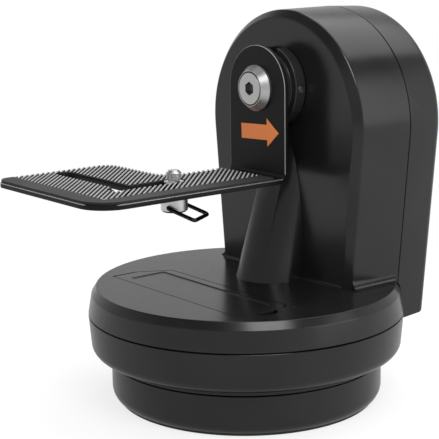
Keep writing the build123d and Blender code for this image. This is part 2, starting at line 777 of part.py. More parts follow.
with BuildPart() as rear_cover:
    add(extrude(tower_outline(seam_y + seam_gap, 0, back_low_z), amount=back_y - seam_y - seam_gap,
                dir=(0, 1, 0), taper=back_draft, mode=Mode.PRIVATE))
    fillet(rear_cover.faces().sort_by(Axis.Y)[-1].edges(), back_round)
    with BuildSketch(Plane.XZ):
        add(base_profile(skin_gap))
    revolve(axis=Axis.Z, mode=Mode.SUBTRACT)
    add(cover_hollow.part, mode=Mode.SUBTRACT)
    with BuildSketch(at_depth(seam_y)):
        with Locations(*back_screw_spots):
            Circle(back_post_r)
    extrude(amount=-(back_inner_y - seam_y))
    with BuildSketch(at_depth(board_y + board_t)):
        with Locations(*board_spots):
            Circle(board_post_r)
    extrude(amount=-(back_inner_y - board_y - board_t))
    with BuildSketch(at_depth(seam_y)):
        with Locations(*back_screw_spots):
            Circle(M3_R + seat_gap)
    extrude(amount=-(back_y - seam_y), mode=Mode.SUBTRACT)
    with BuildSketch(at_depth(head_back_y)):
        with Locations(*back_screw_spots):
            Circle(M3_HEAD_R + skin_gap)
    extrude(amount=-back_screw_sink, mode=Mode.SUBTRACT)
    with BuildSketch(at_depth(board_y + board_t)):
        with Locations(*board_spots):
            Circle(M3_R + press_gap)
    extrude(amount=-(back_inner_y - board_y - board_t), mode=Mode.SUBTRACT)
    with BuildSketch(at_depth(back_inner_y)):
        with Locations((inlet_x, fitting_z), (remote_x, fitting_z)):
            Circle(socket_r + seat_gap)
    extrude(amount=-shell, mode=Mode.SUBTRACT)
export(rear_cover.part, "rear_cover")

housing_screw_l = post_seat_z - neck_z - head_sink + post_hole_l - 1
with BuildPart() as housing_screws:
    with BuildSketch(Plane.XY.offset(neck_z + head_sink)):
        with Locations(*post_spots):
            Circle(M3_R)
    extrude(amount=housing_screw_l)
    with BuildSketch(Plane.XY.offset(neck_z + head_sink)):
        with Locations(*post_spots):
            Circle(M3_HEAD_R)
    extrude(amount=-M3_HEAD_T)
    with BuildSketch(Plane.XY.offset(neck_z + head_sink - M3_HEAD_T)):
        with Locations(*post_spots):
            RegularPolygon(1.2, 6)
    extrude(amount=1.0, mode=Mode.SUBTRACT)
export(housing_screws.part, "housing_screws")

with BuildPart() as rear_cover_screws:
    with BuildSketch(at_depth(head_back_y)):
        with Locations(*back_screw_spots):
            Circle(M3_R)
    extrude(amount=head_back_y - seam_y + post_hole_l + 2)
    with BuildSketch(at_depth(head_back_y)):
        with Locations(*back_screw_spots):
            Circle(M3_HEAD_R)
    extrude(amount=-M3_HEAD_T)
    with BuildSketch(at_depth(head_back_y + M3_HEAD_T)):
        with Locations(*back_screw_spots):
            RegularPolygon(1.2, 6)
    extrude(amount=1.0, mode=Mode.SUBTRACT)
export(rear_cover_screws.part, "rear_cover_screws")

# Screws that hold the pan drive and the battery holder to the floor
floor_screw_l = 4.5
with BuildPart() as floor_screws:
    with BuildSketch(Plane.XY.offset(step_z + ear_t)):
        with Locations(*floor_screw_spots):
            Circle(M3_R)
    extrude(amount=-(floor_screw_l + ear_t))
    with BuildSketch(Plane.XY.offset(step_z + ear_t)):
        with Locations(*floor_screw_spots):
            Circle(M3_HEAD_R)
    extrude(amount=M3_HEAD_T)
    with BuildSketch(Plane.XY.offset(step_z + ear_t + M3_HEAD_T)):
        with Locations(*floor_screw_spots):
            RegularPolygon(1.2, 6)
    extrude(amount=-1.0, mode=Mode.SUBTRACT)
export(floor_screws.part, "floor_screws")

# Pan drive: gearbox on the floor with its motor on top and its pinion below
with BuildPart() as pan_gearbox:
    with BuildSketch(Plane.XY.offset(step_z)):
        with Locations((pan_drive_x, pan_drive_y)):
            Circle(gearbox_r)
    extrude(amount=gearbox_l)
    with BuildSketch(Plane.XY.offset(step_z)):
        with Locations((pan_drive_x, pan_drive_y)):
            SlotOverall(2 * (ear_reach + ear_half), 2 * ear_half, rotation=ear_angle)
    extrude(amount=ear_t)
    with BuildSketch(Plane.XY.offset(step_z)):
        with Locations((pan_drive_x, pan_drive_y)):
            Circle(motor_boss_r)
    extrude(amount=-motor_boss_l)
    with BuildSketch(Plane.XY.offset(step_z - motor_boss_l)):
        with Locations((pan_drive_x, pan_drive_y)):
            Circle(pinion_shaft_r + run_gap)
    extrude(amount=motor_boss_l + pinion_shaft_in, mode=Mode.SUBTRACT)
    with BuildSketch(Plane.XY.offset(step_z)):
        with Locations(floor_screw_spots[0], floor_screw_spots[1]):
            Circle(M3_R + seat_gap)
    extrude(amount=ear_t, mode=Mode.SUBTRACT)
export(pan_gearbox.part, "pan_gearbox")

with BuildPart() as pan_motor:
    with BuildSketch(Plane.XY.offset(step_z + gearbox_l)):
        with Locations((pan_drive_x, pan_drive_y)):
            Circle(motor_r)
    extrude(amount=motor_l)
    chamfer(pan_motor.faces().sort_by(Axis.Z)[-1].edges(), 0.8)
export(pan_motor.part, "pan_motor")

pinion_phase = 180 + 180 / pinion_teeth

pinion_high_z = step_z - motor_boss_l - thrust_gap
with BuildPart() as pan_pinion:
    with BuildSketch(Plane.XY.offset(pan_gear_z)):
        with Locations((pan_drive_x, pan_drive_y)):
            add(gear_face(gear_module, pinion_teeth, pan_drive_angle + pinion_phase, 0))
    extrude(amount=gear_t)
    with BuildSketch(Plane.XY.offset(pan_gear_z)):
        with Locations((pan_drive_x, pan_drive_y)):
            Circle(pinion_collar_r)
    extrude(amount=pinion_high_z - pan_gear_z)
    with BuildSketch(Plane.XY.offset(pan_gear_z)):
        with Locations((pan_drive_x, pan_drive_y)):
            Circle(pinion_shaft_r)
    extrude(amount=step_z + pinion_shaft_in - 0.5 - pan_gear_z)
export(pan_pinion.part, "pan_pinion")

# Frame of the tilt drive: a steel plate on four posts
with BuildPart() as tilt_frame:
    with BuildSketch(at_depth(frame_y)):
        with Locations((0, (frame_low_z + frame_high_z) / 2)):
            RectangleRounded(2 * frame_half_x, frame_high_z - frame_low_z, 4.0)
        with Locations((0, tilt_z)):
            Circle(bush_r + press_gap, mode=Mode.SUBTRACT)
        with Locations((0, tilt_drive_z)):
            Circle(motor_boss_r + seat_gap, mode=Mode.SUBTRACT)
        with Locations((-ear_reach, tilt_drive_z), (ear_reach, tilt_drive_z)):
            Circle(M3_R + press_gap, mode=Mode.SUBTRACT)
        with Locations((-frame_screw_x, frame_screw_low_z), (frame_screw_x, frame_screw_low_z),
                       (-frame_screw_x, frame_screw_high_z), (frame_screw_x, frame_screw_high_z)):
            Circle(M3_R + seat_gap, mode=Mode.SUBTRACT)
        stop_angle = sector_half + tilt_limit + math.degrees(math.asin(stop_pin_r / stop_pin_ring_r)) + 0.4
        stop_pin_x = stop_pin_ring_r * math.sin(math.radians(stop_angle))
        stop_pin_z = tilt_z - stop_pin_ring_r * math.cos(math.radians(stop_angle))
        with Locations((-stop_pin_x, stop_pin_z), (stop_pin_x, stop_pin_z)):
            Circle(stop_pin_r + press_gap, mode=Mode.SUBTRACT)
    extrude(amount=-frame_t)
export(tilt_frame.part, "tilt_frame")

with BuildPart() as tilt_stop_pins:
    with BuildSketch(at_depth(tilt_gear_y)):
        with Locations((-stop_pin_x, stop_pin_z), (stop_pin_x, stop_pin_z)):
            Circle(stop_pin_r)
    extrude(amount=-(frame_y + frame_t - tilt_gear_y))
export(tilt_stop_pins.part, "tilt_stop_pins")

frame_back_y = frame_y + frame_t
with BuildPart() as frame_screws:
    with BuildSketch(at_depth(frame_back_y)):
        with Locations((-frame_screw_x, frame_screw_low_z), (frame_screw_x, frame_screw_low_z),
                       (-frame_screw_x, frame_screw_high_z), (frame_screw_x, frame_screw_high_z)):
            Circle(M3_R)
    extrude(amount=frame_t + post_hole_l - 1)
    with BuildSketch(at_depth(frame_back_y)):
        with Locations((-frame_screw_x, frame_screw_low_z), (frame_screw_x, frame_screw_low_z),
                       (-frame_screw_x, frame_screw_high_z), (frame_screw_x, frame_screw_high_z)):
            Circle(M3_HEAD_R)
    extrude(amount=-M3_HEAD_T)
    with BuildSketch(at_depth(frame_back_y + M3_HEAD_T)):
        with Locations((-frame_screw_x, frame_screw_low_z), (frame_screw_x, frame_screw_low_z),
                       (-frame_screw_x, frame_screw_high_z), (frame_screw_x, frame_screw_high_z)):
            RegularPolygon(1.2, 6)
    extrude(amount=1.0, mode=Mode.SUBTRACT)
export(frame_screws.part, "frame_screws")

# Tilt drive: gearbox and motor behind the plate
with BuildPart() as tilt_gearbox:
    with BuildSketch(at_depth(frame_back_y)):
        with Locations((0, tilt_drive_z)):
            Circle(gearbox_r)
    extrude(amount=-gearbox_l)
    with BuildSketch(at_depth(frame_back_y)):
        with Locations((0, tilt_drive_z)):
            SlotOverall(2 * (ear_reach + ear_half), 2 * ear_half)
    extrude(amount=-ear_t)
    with BuildSketch(at_depth(frame_back_y)):
        with Locations((0, tilt_drive_z)):
            Circle(motor_boss_r)
    extrude(amount=motor_boss_l - 0.5)
    with BuildSketch(at_depth(frame_back_y - motor_boss_l)):
        with Locations((0, tilt_drive_z)):
            Circle(pinion_shaft_r + run_gap)
    extrude(amount=-(motor_boss_l + pinion_shaft_in), mode=Mode.SUBTRACT)
    with BuildSketch(at_depth(frame_back_y)):
        with Locations((-ear_reach, tilt_drive_z), (ear_reach, tilt_drive_z)):
            Circle(M3_R + seat_gap)
    extrude(amount=-ear_t, mode=Mode.SUBTRACT)
export(tilt_gearbox.part, "tilt_gearbox")

with BuildPart() as tilt_motor:
    with BuildSketch(at_depth(frame_back_y + gearbox_l)):
        with Locations((0, tilt_drive_z)):
            Circle(motor_r)
    extrude(amount=-motor_l)
    chamfer(tilt_motor.faces().sort_by(Axis.Y)[-1].edges(), 0.8)
export(tilt_motor.part, "tilt_motor")

ear_back_y = frame_back_y + ear_t
with BuildPart() as tilt_gearbox_screws:
    with BuildSketch(at_depth(ear_back_y)):
        with Locations((-ear_reach, tilt_drive_z), (ear_reach, tilt_drive_z)):
            Circle(M3_R)
    extrude(amount=ear_t + frame_t)
    with BuildSketch(at_depth(ear_back_y)):
        with Locations((-ear_reach, tilt_drive_z), (ear_reach, tilt_drive_z)):
            Circle(M3_HEAD_R)
    extrude(amount=-M3_HEAD_T)
    with BuildSketch(at_depth(ear_back_y + M3_HEAD_T)):
        with Locations((-ear_reach, tilt_drive_z), (ear_reach, tilt_drive_z)):
            RegularPolygon(1.2, 6)
    extrude(amount=1.0, mode=Mode.SUBTRACT)
export(tilt_gearbox_screws.part, "tilt_gearbox_screws")

with BuildPart() as tilt_pinion:
    with BuildSketch(at_depth(tilt_gear_y)):
        with Locations((0, tilt_drive_z)):
            add(gear_face(tilt_module, pinion_teeth, pinion_phase - 90, 0))
    extrude(amount=-gear_t)
    with BuildSketch(at_depth(tilt_gear_y + gear_t)):
        with Locations((0, tilt_drive_z)):
            Circle(pinion_collar_r)
    extrude(amount=-(frame_back_y - motor_boss_l + 0.5 - thrust_gap - tilt_gear_y - gear_t))
    with BuildSketch(at_depth(tilt_gear_y)):
        with Locations((0, tilt_drive_z)):
            Circle(pinion_shaft_r)
    extrude(amount=-(frame_back_y + pinion_shaft_in - 0.5 - tilt_gear_y))
export(tilt_pinion.part, "tilt_pinion")

# Bronze bushes that the tilt shaft runs in
with BuildPart() as tilt_bush_front:
    with BuildSketch(at_depth(bush_front_y)):
        with Locations((0, tilt_z)):
            Circle(bush_r)
            Circle(shaft_r + run_gap, mode=Mode.SUBTRACT)
    extrude(amount=-(bush_front_end_y - bush_front_y))
export(tilt_bush_front.part, "tilt_bush_front")

with BuildPart() as tilt_bush_back:
    with BuildSketch(at_depth(frame_y)):
        with Locations((0, tilt_z)):
            Circle(bush_r)
    extrude(amount=-(bush_back_end_y - frame_y))
    with BuildSketch(at_depth(frame_y)):
        with Locations((0, tilt_z)):
            Circle(bush_flange_r)
    extrude(amount=bush_flange_t)
    with BuildSketch(at_depth(frame_y - bush_flange_t)):
        with Locations((0, tilt_z)):
            Circle(shaft_r + run_gap)
    extrude(amount=-(bush_back_end_y - frame_y + bush_flange_t), mode=Mode.SUBTRACT)
export(tilt_bush_back.part, "tilt_bush_back")

# Tilt shaft, with its sector gear, cross pin and retaining clip
cross_pin_r = 1.0
sector_hub_r = 9.0
clip_groove_r = 4.2
clip_y = bush_back_end_y + thrust_gap
shaft_clip_t = 1.0
shaft_thread_l = 12.0
with BuildPart() as tilt_shaft:
    with BuildSketch(at_depth(bracket_back_y)):
        with Locations((0, tilt_z)):
            Circle(shaft_r)
    extrude(amount=-(shaft_end_y - bracket_back_y))
    chamfer(tilt_shaft.faces().sort_by(Axis.Y)[-1].edges(), 0.5)
    with BuildSketch(at_depth(bracket_back_y)):
        with Locations((0, tilt_z)):
            Circle(screw_r + press_gap)
    extrude(amount=-shaft_thread_l, mode=Mode.SUBTRACT)
    with BuildSketch(at_depth(clip_y)):
        with Locations((0, tilt_z)):
            Circle(shaft_r + 1)
            Circle(clip_groove_r, mode=Mode.SUBTRACT)
    extrude(amount=-shaft_clip_t, mode=Mode.SUBTRACT)
    with BuildSketch(Plane.YZ.offset(-shaft_r - 1)):
        with Locations((tilt_gear_y + gear_t / 2, tilt_z)):
            Circle(cross_pin_r + press_gap)
    extrude(amount=2 * (shaft_r + 1), mode=Mode.SUBTRACT)
export(tilt_shaft.part, "tilt_shaft")

sector_low_y = bush_front_end_y + thrust_gap
sector_high_y = frame_y - bush_flange_t - thrust_gap
with BuildPart() as tilt_sector:
    with BuildSketch(at_depth(tilt_gear_y)):
        with Locations((0, tilt_z)):
            add(gear_face(tilt_module, gear_teeth, -90, shaft_r + press_gap))
            add(wedge(-90, sector_half, 2 * tilt_sector_r), mode=Mode.INTERSECT)
    extrude(amount=-gear_t)
    with BuildSketch(at_depth(sector_low_y)):
        with Locations((0, tilt_z)):
            Circle(sector_hub_r)
    extrude(amount=-(sector_high_y - sector_low_y))
    with BuildSketch(at_depth(sector_low_y)):
        with Locations((0, tilt_z)):
            Circle(shaft_r + press_gap)
    extrude(amount=-(sector_high_y - sector_low_y), mode=Mode.SUBTRACT)
    with BuildSketch(Plane.YZ.offset(-sector_hub_r - 1)):
        with Locations((tilt_gear_y + gear_t / 2, tilt_z)):
            Circle(cross_pin_r + press_gap)
    extrude(amount=2 * (sector_hub_r + 1), mode=Mode.SUBTRACT)
export(tilt_sector.part, "tilt_sector")

with BuildPart() as sector_pin:
    with BuildSketch(Plane.YZ.offset(-sector_hub_r + seam_gap)):
        with Locations((tilt_gear_y + gear_t / 2, tilt_z)):
            Circle(cross_pin_r)
    extrude(amount=2 * (sector_hub_r - seam_gap))
export(sector_pin.part, "sector_pin")

with BuildPart() as shaft_clip:
    with BuildSketch(at_depth(clip_y)):
        with Locations((0, tilt_z)):
            Circle(shaft_r + 3)
            Circle(clip_groove_r + press_gap, mode=Mode.SUBTRACT)
        with Locations((0, tilt_z - shaft_r - 3)):
            Rectangle(0.9 * shaft_r, 2 * shaft_r, mode=Mode.SUBTRACT)
    extrude(amount=-shaft_clip_t)
export(shaft_clip.part, "shaft_clip")

# Hub between tower and bracket, clamped on the shaft by a grub screw
hub_end_y = front_y - seam_gap
grub_r = 1.5
grub_in = 2.0
with BuildPart() as tilt_hub:
    with BuildSketch(at_depth(bracket_back_y)):
        with Locations((0, tilt_z)):
            Circle(hub_disc_r)
    extrude(amount=-(hub_rim_y - bracket_back_y))
    with BuildSketch(at_depth(hub_rim_y)):
        with Locations((0, tilt_z)):
            Circle(hub_rim_r)
        with Locations((0, tilt_z + hub_rim_r)):
            Rectangle(2 * hub_notch_half, 2 * hub_notch_deep, mode=Mode.SUBTRACT)
    extrude(amount=-(hub_end_y - hub_rim_y))
    with BuildSketch(at_depth(bracket_back_y)):
        with Locations((-dog_x, tilt_z), (dog_x, tilt_z)):
            Circle(dog_r)
    extrude(amount=bracket_t)
    with BuildSketch(at_depth(bracket_back_y)):
        with Locations((0, tilt_z)):
            Circle(shaft_r + press_gap)
    extrude(amount=-(hub_end_y - bracket_back_y), mode=Mode.SUBTRACT)
    with BuildSketch(Plane.YZ.offset(shaft_r)):
        with Locations((grub_y, tilt_z)):
            Circle(grub_r + press_gap)
    extrude(amount=hub_rim_r, mode=Mode.SUBTRACT)
export(tilt_hub.part, "tilt_hub")

with BuildPart() as grub_screw:
    with BuildSketch(Plane.YZ.offset(shaft_r + press_gap)):
        with Locations((grub_y, tilt_z)):
            Circle(grub_r)
    extrude(amount=hub_rim_r - shaft_r - grub_in / 4)
    with BuildSketch(Plane.YZ.offset(hub_rim_r)):
        with Locations((grub_y, tilt_z)):
            RegularPolygon(0.85, 6)
    extrude(amount=-grub_in, mode=Mode.SUBTRACT)
export(grub_screw.part, "grub_screw")

# Bracket: one bent strip of steel, upright on the hub and level under the camera
with BuildPart() as camera_bracket:
    with BuildSketch(at_depth(bracket_y)):
        with Locations((0, tilt_z)):
            Circle(bracket_half)
        with Locations((0, tilt_z)):
            Rectangle(2 * bracket_half, tilt_z - plate_z, align=(Align.CENTER, Align.MAX))
    extrude(amount=-bracket_t)
    with BuildSketch(Plane.XY.offset(plate_z)):
        add(plate_outline(0, bracket_back_y))
    extrude(amount=bracket_t)
    inner_bend = camera_bracket.edges().filter_by(Axis.X).sort_by_distance((0, bracket_y, plate_top_z))[0]
    fillet(inner_bend, bend_r)
    outer_bend = camera_bracket.edges().filter_by(Axis.X).sort_by_distance((0, bracket_back_y, plate_z))[0]
    fillet(outer_bend, bend_r + bracket_t)
    with BuildSketch(at_depth(bracket_y)):
        with Locations((0, tilt_z)):
            Circle(screw_r + seat_gap)
        with Locations((-dog_x, tilt_z), (dog_x, tilt_z)):
            Circle(dog_r + press_gap)
    extrude(amount=-bracket_t, mode=Mode.SUBTRACT)
    with BuildSketch(Plane.XY.offset(plate_z)):
        add(slot_outline(0))
    extrude(amount=bracket_t, mode=Mode.SUBTRACT)
export(camera_bracket.part, "camera_bracket")

with BuildPart() as platform_pad:
    with BuildSketch(Plane.XY.offset(plate_top_z)):
        add(plate_outline(pad_inset, pad_end_y))
        add(slot_outline(slot_pad_margin), mode=Mode.SUBTRACT)
    extrude(amount=pad_t)
export(platform_pad.part, "platform_pad")

# Pivot screw, with a broad conical head
with BuildPart() as pivot_screw:
    with BuildSketch(at_depth(bracket_y)):
        with Locations((0, tilt_z)):
            Circle(screw_flange_r)
    extrude(amount=screw_rim_t)
    with BuildSketch(at_depth(bracket_y - screw_rim_t)):
        with Locations((0, tilt_z)):
            Circle(screw_flange_r)
    with BuildSketch(at_depth(bracket_y - screw_head_t)):
        with Locations((0, tilt_z)):
            Circle(screw_head_r)
    loft()
    with BuildSketch(at_depth(bracket_y)):
        with Locations((0, tilt_z)):
            Circle(screw_r)
    extrude(amount=-(screw_l - bracket_t))
    with BuildSketch(at_depth(bracket_y - screw_head_t)):
        with Locations((0, tilt_z)):
            RegularPolygon(hex_across / 2, 6, major_radius=False)
    extrude(amount=-hex_depth, mode=Mode.SUBTRACT)
export(pivot_screw.part, "pivot_screw")

arrow_skew = 2.3
with BuildPart() as arrow_mark:
    with BuildSketch(at_depth(bracket_y)):
        head_x = arrow_tip_x - arrow_head_l
        with BuildLine():
            Polyline((arrow_tail_x, arrow_z - arrow_body_h / 2), (head_x, arrow_z - arrow_body_h / 2),
                     (head_x, arrow_z - arrow_head_h / 2), (arrow_tip_x, arrow_z),
                     (head_x, arrow_z + arrow_head_h / 2), (head_x, arrow_z + arrow_body_h / 2),
                     (arrow_tail_x, arrow_z + arrow_body_h / 2), close=True)
        make_face()
    extrude(amount=arrow_t)
arrow_axis = Axis(((arrow_tail_x + arrow_tip_x) / 2, bracket_y, arrow_z), (0, 1, 0))
export(arrow_mark.part.rotate(arrow_axis, -arrow_skew), "arrow_mark")

# Camera screw: captive in the slot between a washer below and a clip above, in the pad's slot
clip_z = plate_top_z + seat_gap
clip_seat_r = screw_neck_r - clip_groove
thread_low_z = pad_top_z + seat_gap
with BuildPart() as camera_screw:
    with BuildSketch(Plane.XY.offset(knob_low_z)):
        with Locations((slot_x, camera_screw_y)):
            Circle(knob_r)
    extrude(amount=knob_top_z - knob_low_z)
    chamfer(camera_screw.faces().sort_by(Axis.Z)[0].edges(), 0.7)
    with BuildSketch(Plane.XY.offset(knob_top_z)):
        with Locations((slot_x, camera_screw_y)):
            Circle(screw_neck_r)
    extrude(amount=thread_low_z - knob_top_z)
    with BuildSketch(Plane.XY.offset(thread_low_z)):
        with Locations((slot_x, camera_screw_y)):
            Circle(camera_screw_r)
    extrude(amount=camera_screw_top - thread_low_z)
    chamfer(camera_screw.faces().sort_by(Axis.Z)[-1].edges(), 0.6)
    with BuildSketch(Plane.XY.offset(clip_z)):
        with Locations((slot_x, camera_screw_y)):
            Circle(camera_screw_r + 1)
            Circle(clip_seat_r, mode=Mode.SUBTRACT)
    extrude(amount=clip_t, mode=Mode.SUBTRACT)
    with BuildSketch(Plane((slot_x, camera_screw_y, ring_hinge_z), x_dir=(0, 0, 1),
                           z_dir=(math.sin(math.radians(ring_heading)),
                                  -math.cos(math.radians(ring_heading)), 0))):
        Circle(ring_wire_r + run_gap)
    extrude(amount=knob_r + 1, both=True, mode=Mode.SUBTRACT)
export(camera_screw.part, "camera_screw")

with BuildPart() as screw_clip:
    with BuildSketch(Plane.XY.offset(clip_z)):
        with Locations((slot_x, camera_screw_y)):
            Circle(clip_r)
            Circle(clip_seat_r + press_gap, mode=Mode.SUBTRACT)
        with Locations((slot_x + clip_r, camera_screw_y)):
            Rectangle(2 * clip_r, clip_mouth, mode=Mode.SUBTRACT)
    extrude(amount=clip_t)
export(screw_clip.part, "screw_clip")

with BuildPart() as slide_washer:
    with BuildSketch(Plane.XY.offset(knob_top_z)):
        with Locations((slot_x, camera_screw_y)):
            Circle(slide_washer_r)
            Circle(camera_screw_r + run_gap, mode=Mode.SUBTRACT)
    extrude(amount=slide_washer_t)
export(slide_washer.part, "slide_washer")

# Folding ring that turns the camera screw, its ends sprung into the knob
ring_pin_in = 2.0
ring_bend_r = 1.3
ring_plane = Plane((slot_x, camera_screw_y, ring_hinge_z),
                   x_dir=(math.cos(math.radians(ring_heading)) * math.cos(math.radians(ring_droop)),
                          math.sin(math.radians(ring_heading)) * math.cos(math.radians(ring_droop)),
                          -math.sin(math.radians(ring_droop))),
                   z_dir=(math.cos(math.radians(ring_heading)) * math.sin(math.radians(ring_droop)),
                          math.sin(math.radians(ring_heading)) * math.sin(math.radians(ring_droop)),
                          math.cos(math.radians(ring_droop))))
with BuildPart() as d_ring:
    with BuildLine(ring_plane):
        FilletPolyline((0, knob_r - ring_pin_in), (0, ring_half), (ring_reach, ring_half),
                       (ring_reach, -ring_half), (0, -ring_half), (0, -knob_r + ring_pin_in),
                       radius=ring_bend_r)
    with BuildSketch(Plane(ring_plane.from_local_coords((0, knob_r - ring_pin_in, 0)),
                           x_dir=ring_plane.x_dir, z_dir=ring_plane.y_dir)):
        Circle(ring_wire_r)
    sweep()
export(d_ring.part, "d_ring")

# Battery bay: an open tub under the door with four cells in two layers
with BuildPart() as battery_holder:
    with BuildSketch(Plane.XY.offset(step_z)):
        with Locations((0, door_mid_y)):
            Rectangle(2 * (bay_half_x + bay_wall), 2 * (bay_half_y + bay_wall))
    extrude(amount=deck_low_z - step_z)
    with BuildSketch(Plane.XY.offset(step_z)):
        with Locations((0, door_mid_y)):
            SlotOverall(2 * (bay_ear_x + ear_half), 2 * ear_half)
    extrude(amount=ear_t)
    with BuildSketch(Plane.XY.offset(bay_low_z)):
        with Locations((0, door_mid_y)):
            Rectangle(2 * bay_half_x, 2 * bay_half_y)
    extrude(amount=deck_low_z - bay_low_z, mode=Mode.SUBTRACT)
    with BuildSketch(Plane.XY.offset(step_z)):
        with Locations(floor_screw_spots[2], floor_screw_spots[3]):
            Circle(M3_R + seat_gap)
    extrude(amount=ear_t, mode=Mode.SUBTRACT)
export(battery_holder.part, "battery_holder")

cell_rows = [(side * cell_pitch / 2, bay_low_z + cell_r + layer * cell_pitch)
             for side in (-1, 1) for layer in (0, 1)]
cell_turns = (1, -1, -1, 1)
body_start = bay_half_x - contact_t - spring_l
with BuildPart() as battery_cells:
    for (row_y, row_z), turn in zip(cell_rows, cell_turns):
        with BuildSketch(Plane.YZ.offset(-turn * body_start)):
            with Locations((door_mid_y + row_y, row_z)):
                Circle(cell_r)
        extrude(amount=turn * cell_l)
        with BuildSketch(Plane.YZ.offset(-turn * (body_start - cell_l))):
            with Locations((door_mid_y + row_y, row_z)):
                Circle(cell_nub_r)
        extrude(amount=turn * cell_nub_l)
export(battery_cells.part, "battery_cells")

with BuildPart() as contact_plates:
    for (row_y, row_z), turn in zip(cell_rows, cell_turns):
        with BuildSketch(Plane.YZ.offset(turn * bay_half_x)):
            with Locations((door_mid_y + row_y, row_z)):
                Rectangle(1.4 * cell_r, 1.4 * cell_r)
        extrude(amount=-turn * contact_t)
export(contact_plates.part, "contact_plates")

leaf_w = 5.0
leaf_half = 3.4
leaf_edge = 0.5
with BuildPart() as contact_springs:
    for (row_y, row_z), turn in zip(cell_rows, cell_turns):
        with BuildSketch(at_depth(door_mid_y + row_y - leaf_w / 2)):
            with Locations((-turn * bay_half_x, row_z)):
                Rectangle(contact_t, 1.4 * cell_r,
                          align=(Align.MIN if turn > 0 else Align.MAX, Align.CENTER))
            with BuildLine():
                wall_x = -turn * (bay_half_x - contact_t)
                tip_x = -turn * (bay_half_x - contact_t - spring_l)
                Polyline((wall_x, row_z - leaf_half), (tip_x, row_z - contact_t), (tip_x, row_z + contact_t),
                         (wall_x, row_z + leaf_half), (wall_x, row_z + leaf_half - leaf_edge),
                         (tip_x - turn * contact_t, row_z), (wall_x, row_z - leaf_half + leaf_edge), close=True)
            make_face()
        extrude(amount=-leaf_w)
export(contact_springs.part, "contact_springs")

# Battery door: hooks under the deck at one end and latches at the other
with BuildPart() as nose_cut:
    with BuildSketch(at_depth(door_front)):
        with Locations((door_left, hinge_z)):
            Rectangle(hinge_r, door_t, align=(Align.MIN, Align.CENTER))
        with Locations((hinge_x, hinge_z)):
            Circle(hinge_r, mode=Mode.SUBTRACT)
    extrude(amount=-door_w)
with BuildPart() as battery_door:
    with BuildSketch(Plane.XY.offset(door_low_z)):
        add(door_outline(0))
        with Locations((door_right, door_mid_y)):
            Rectangle(2 * seam_gap, 2 * latch_half, align=(Align.MIN, Align.CENTER))
    extrude(amount=door_t)
    add(nose_cut.part, mode=Mode.SUBTRACT)
    with BuildSketch(Plane.XY.offset(deck_z)):
        with Locations(((door_left + door_right) / 2, door_mid_y)):
            Rectangle(door_right - door_left - 2 * panel_margin_x, door_back - door_front - 2 * panel_margin_y)
    extrude(amount=-panel_sink, mode=Mode.SUBTRACT)
    for spot in tab_spots:
        with BuildSketch(at_depth(spot - tab_half)):
            with BuildLine():
                Polyline((door_left + tab_reach, hinge_z), (door_left, hinge_z),
                         (door_left, latch_z), (door_left - tab_reach, latch_z),
                         (door_left - tab_reach, latch_z - tab_t), (door_left + tab_reach, latch_z - tab_t),
                         close=True)
            make_face()
        extrude(amount=-2 * tab_half)
    with BuildSketch(at_depth(door_mid_y - latch_half)):
        with BuildLine():
            Polyline((door_right - latch_root, door_low_z), (latch_x, door_low_z), (latch_x, latch_z),
                     (door_right + latch_reach, latch_z), (latch_x, latch_z - latch_h),
                     (door_right - latch_root, latch_z - latch_h), close=True)
        make_face()
    extrude(amount=-2 * latch_half)
export(battery_door.part, "battery_door")

# Circuit board with the power inlet and the socket of the remote control
chips = ((-2.0, 12.0, 8.0), (13.0, 5.0, 10.0))   # place along X, width and height of each chip
coil_x, coil_r, chip_t = -15.0, 3.2, 2.4
with BuildPart() as circuit_board:
    with BuildSketch(at_depth(board_y)):
        with Locations((0, (board_low_z + board_high_z) / 2)):
            Rectangle(2 * board_half_x, board_high_z - board_low_z)
        with Locations(*board_spots):
            Circle(M3_R + seat_gap, mode=Mode.SUBTRACT)
    extrude(amount=-board_t)
    with BuildSketch(at_depth(board_y)):
        for chip_x, chip_w, chip_h in chips:
            with Locations((chip_x, fitting_z)):
                Rectangle(chip_w, chip_h)
        with Locations((coil_x, fitting_z)):
            Circle(coil_r)
    extrude(amount=chip_t)
export(circuit_board.part, "circuit_board")

with BuildPart() as board_screws:
    with BuildSketch(at_depth(board_y)):
        with Locations(*board_spots):
            Circle(M3_R)
    extrude(amount=-(back_inner_y - board_y - 1.0))
    with BuildSketch(at_depth(board_y)):
        with Locations(*board_spots):
            Circle(M3_HEAD_R)
    extrude(amount=M3_HEAD_T)
    with BuildSketch(at_depth(board_y - M3_HEAD_T)):
        with Locations(*board_spots):
            RegularPolygon(1.2, 6)
    extrude(amount=-1.0, mode=Mode.SUBTRACT)
export(board_screws.part, "board_screws")

socket_face_y = back_y - 0.3
with BuildPart() as dc_inlet:
    with BuildSketch(at_depth(board_y + board_t)):
        with Locations((inlet_x, fitting_z)):
            Rectangle(2 * inlet_half_x, 2 * socket_r + 2)
    extrude(amount=-(back_inner_y - board_y - board_t))
    with BuildSketch(at_depth(back_inner_y)):
        with Locations((inlet_x, fitting_z)):
            Circle(socket_r)
    extrude(amount=-(socket_face_y - back_inner_y))
    with BuildSketch(at_depth(socket_face_y)):
        with Locations((inlet_x, fitting_z)):
            Circle(inlet_bore_r)
            Circle(inlet_bore_r / 3, mode=Mode.SUBTRACT)
    extrude(amount=2 * socket_r - 1, mode=Mode.SUBTRACT)
export(dc_inlet.part, "dc_inlet")

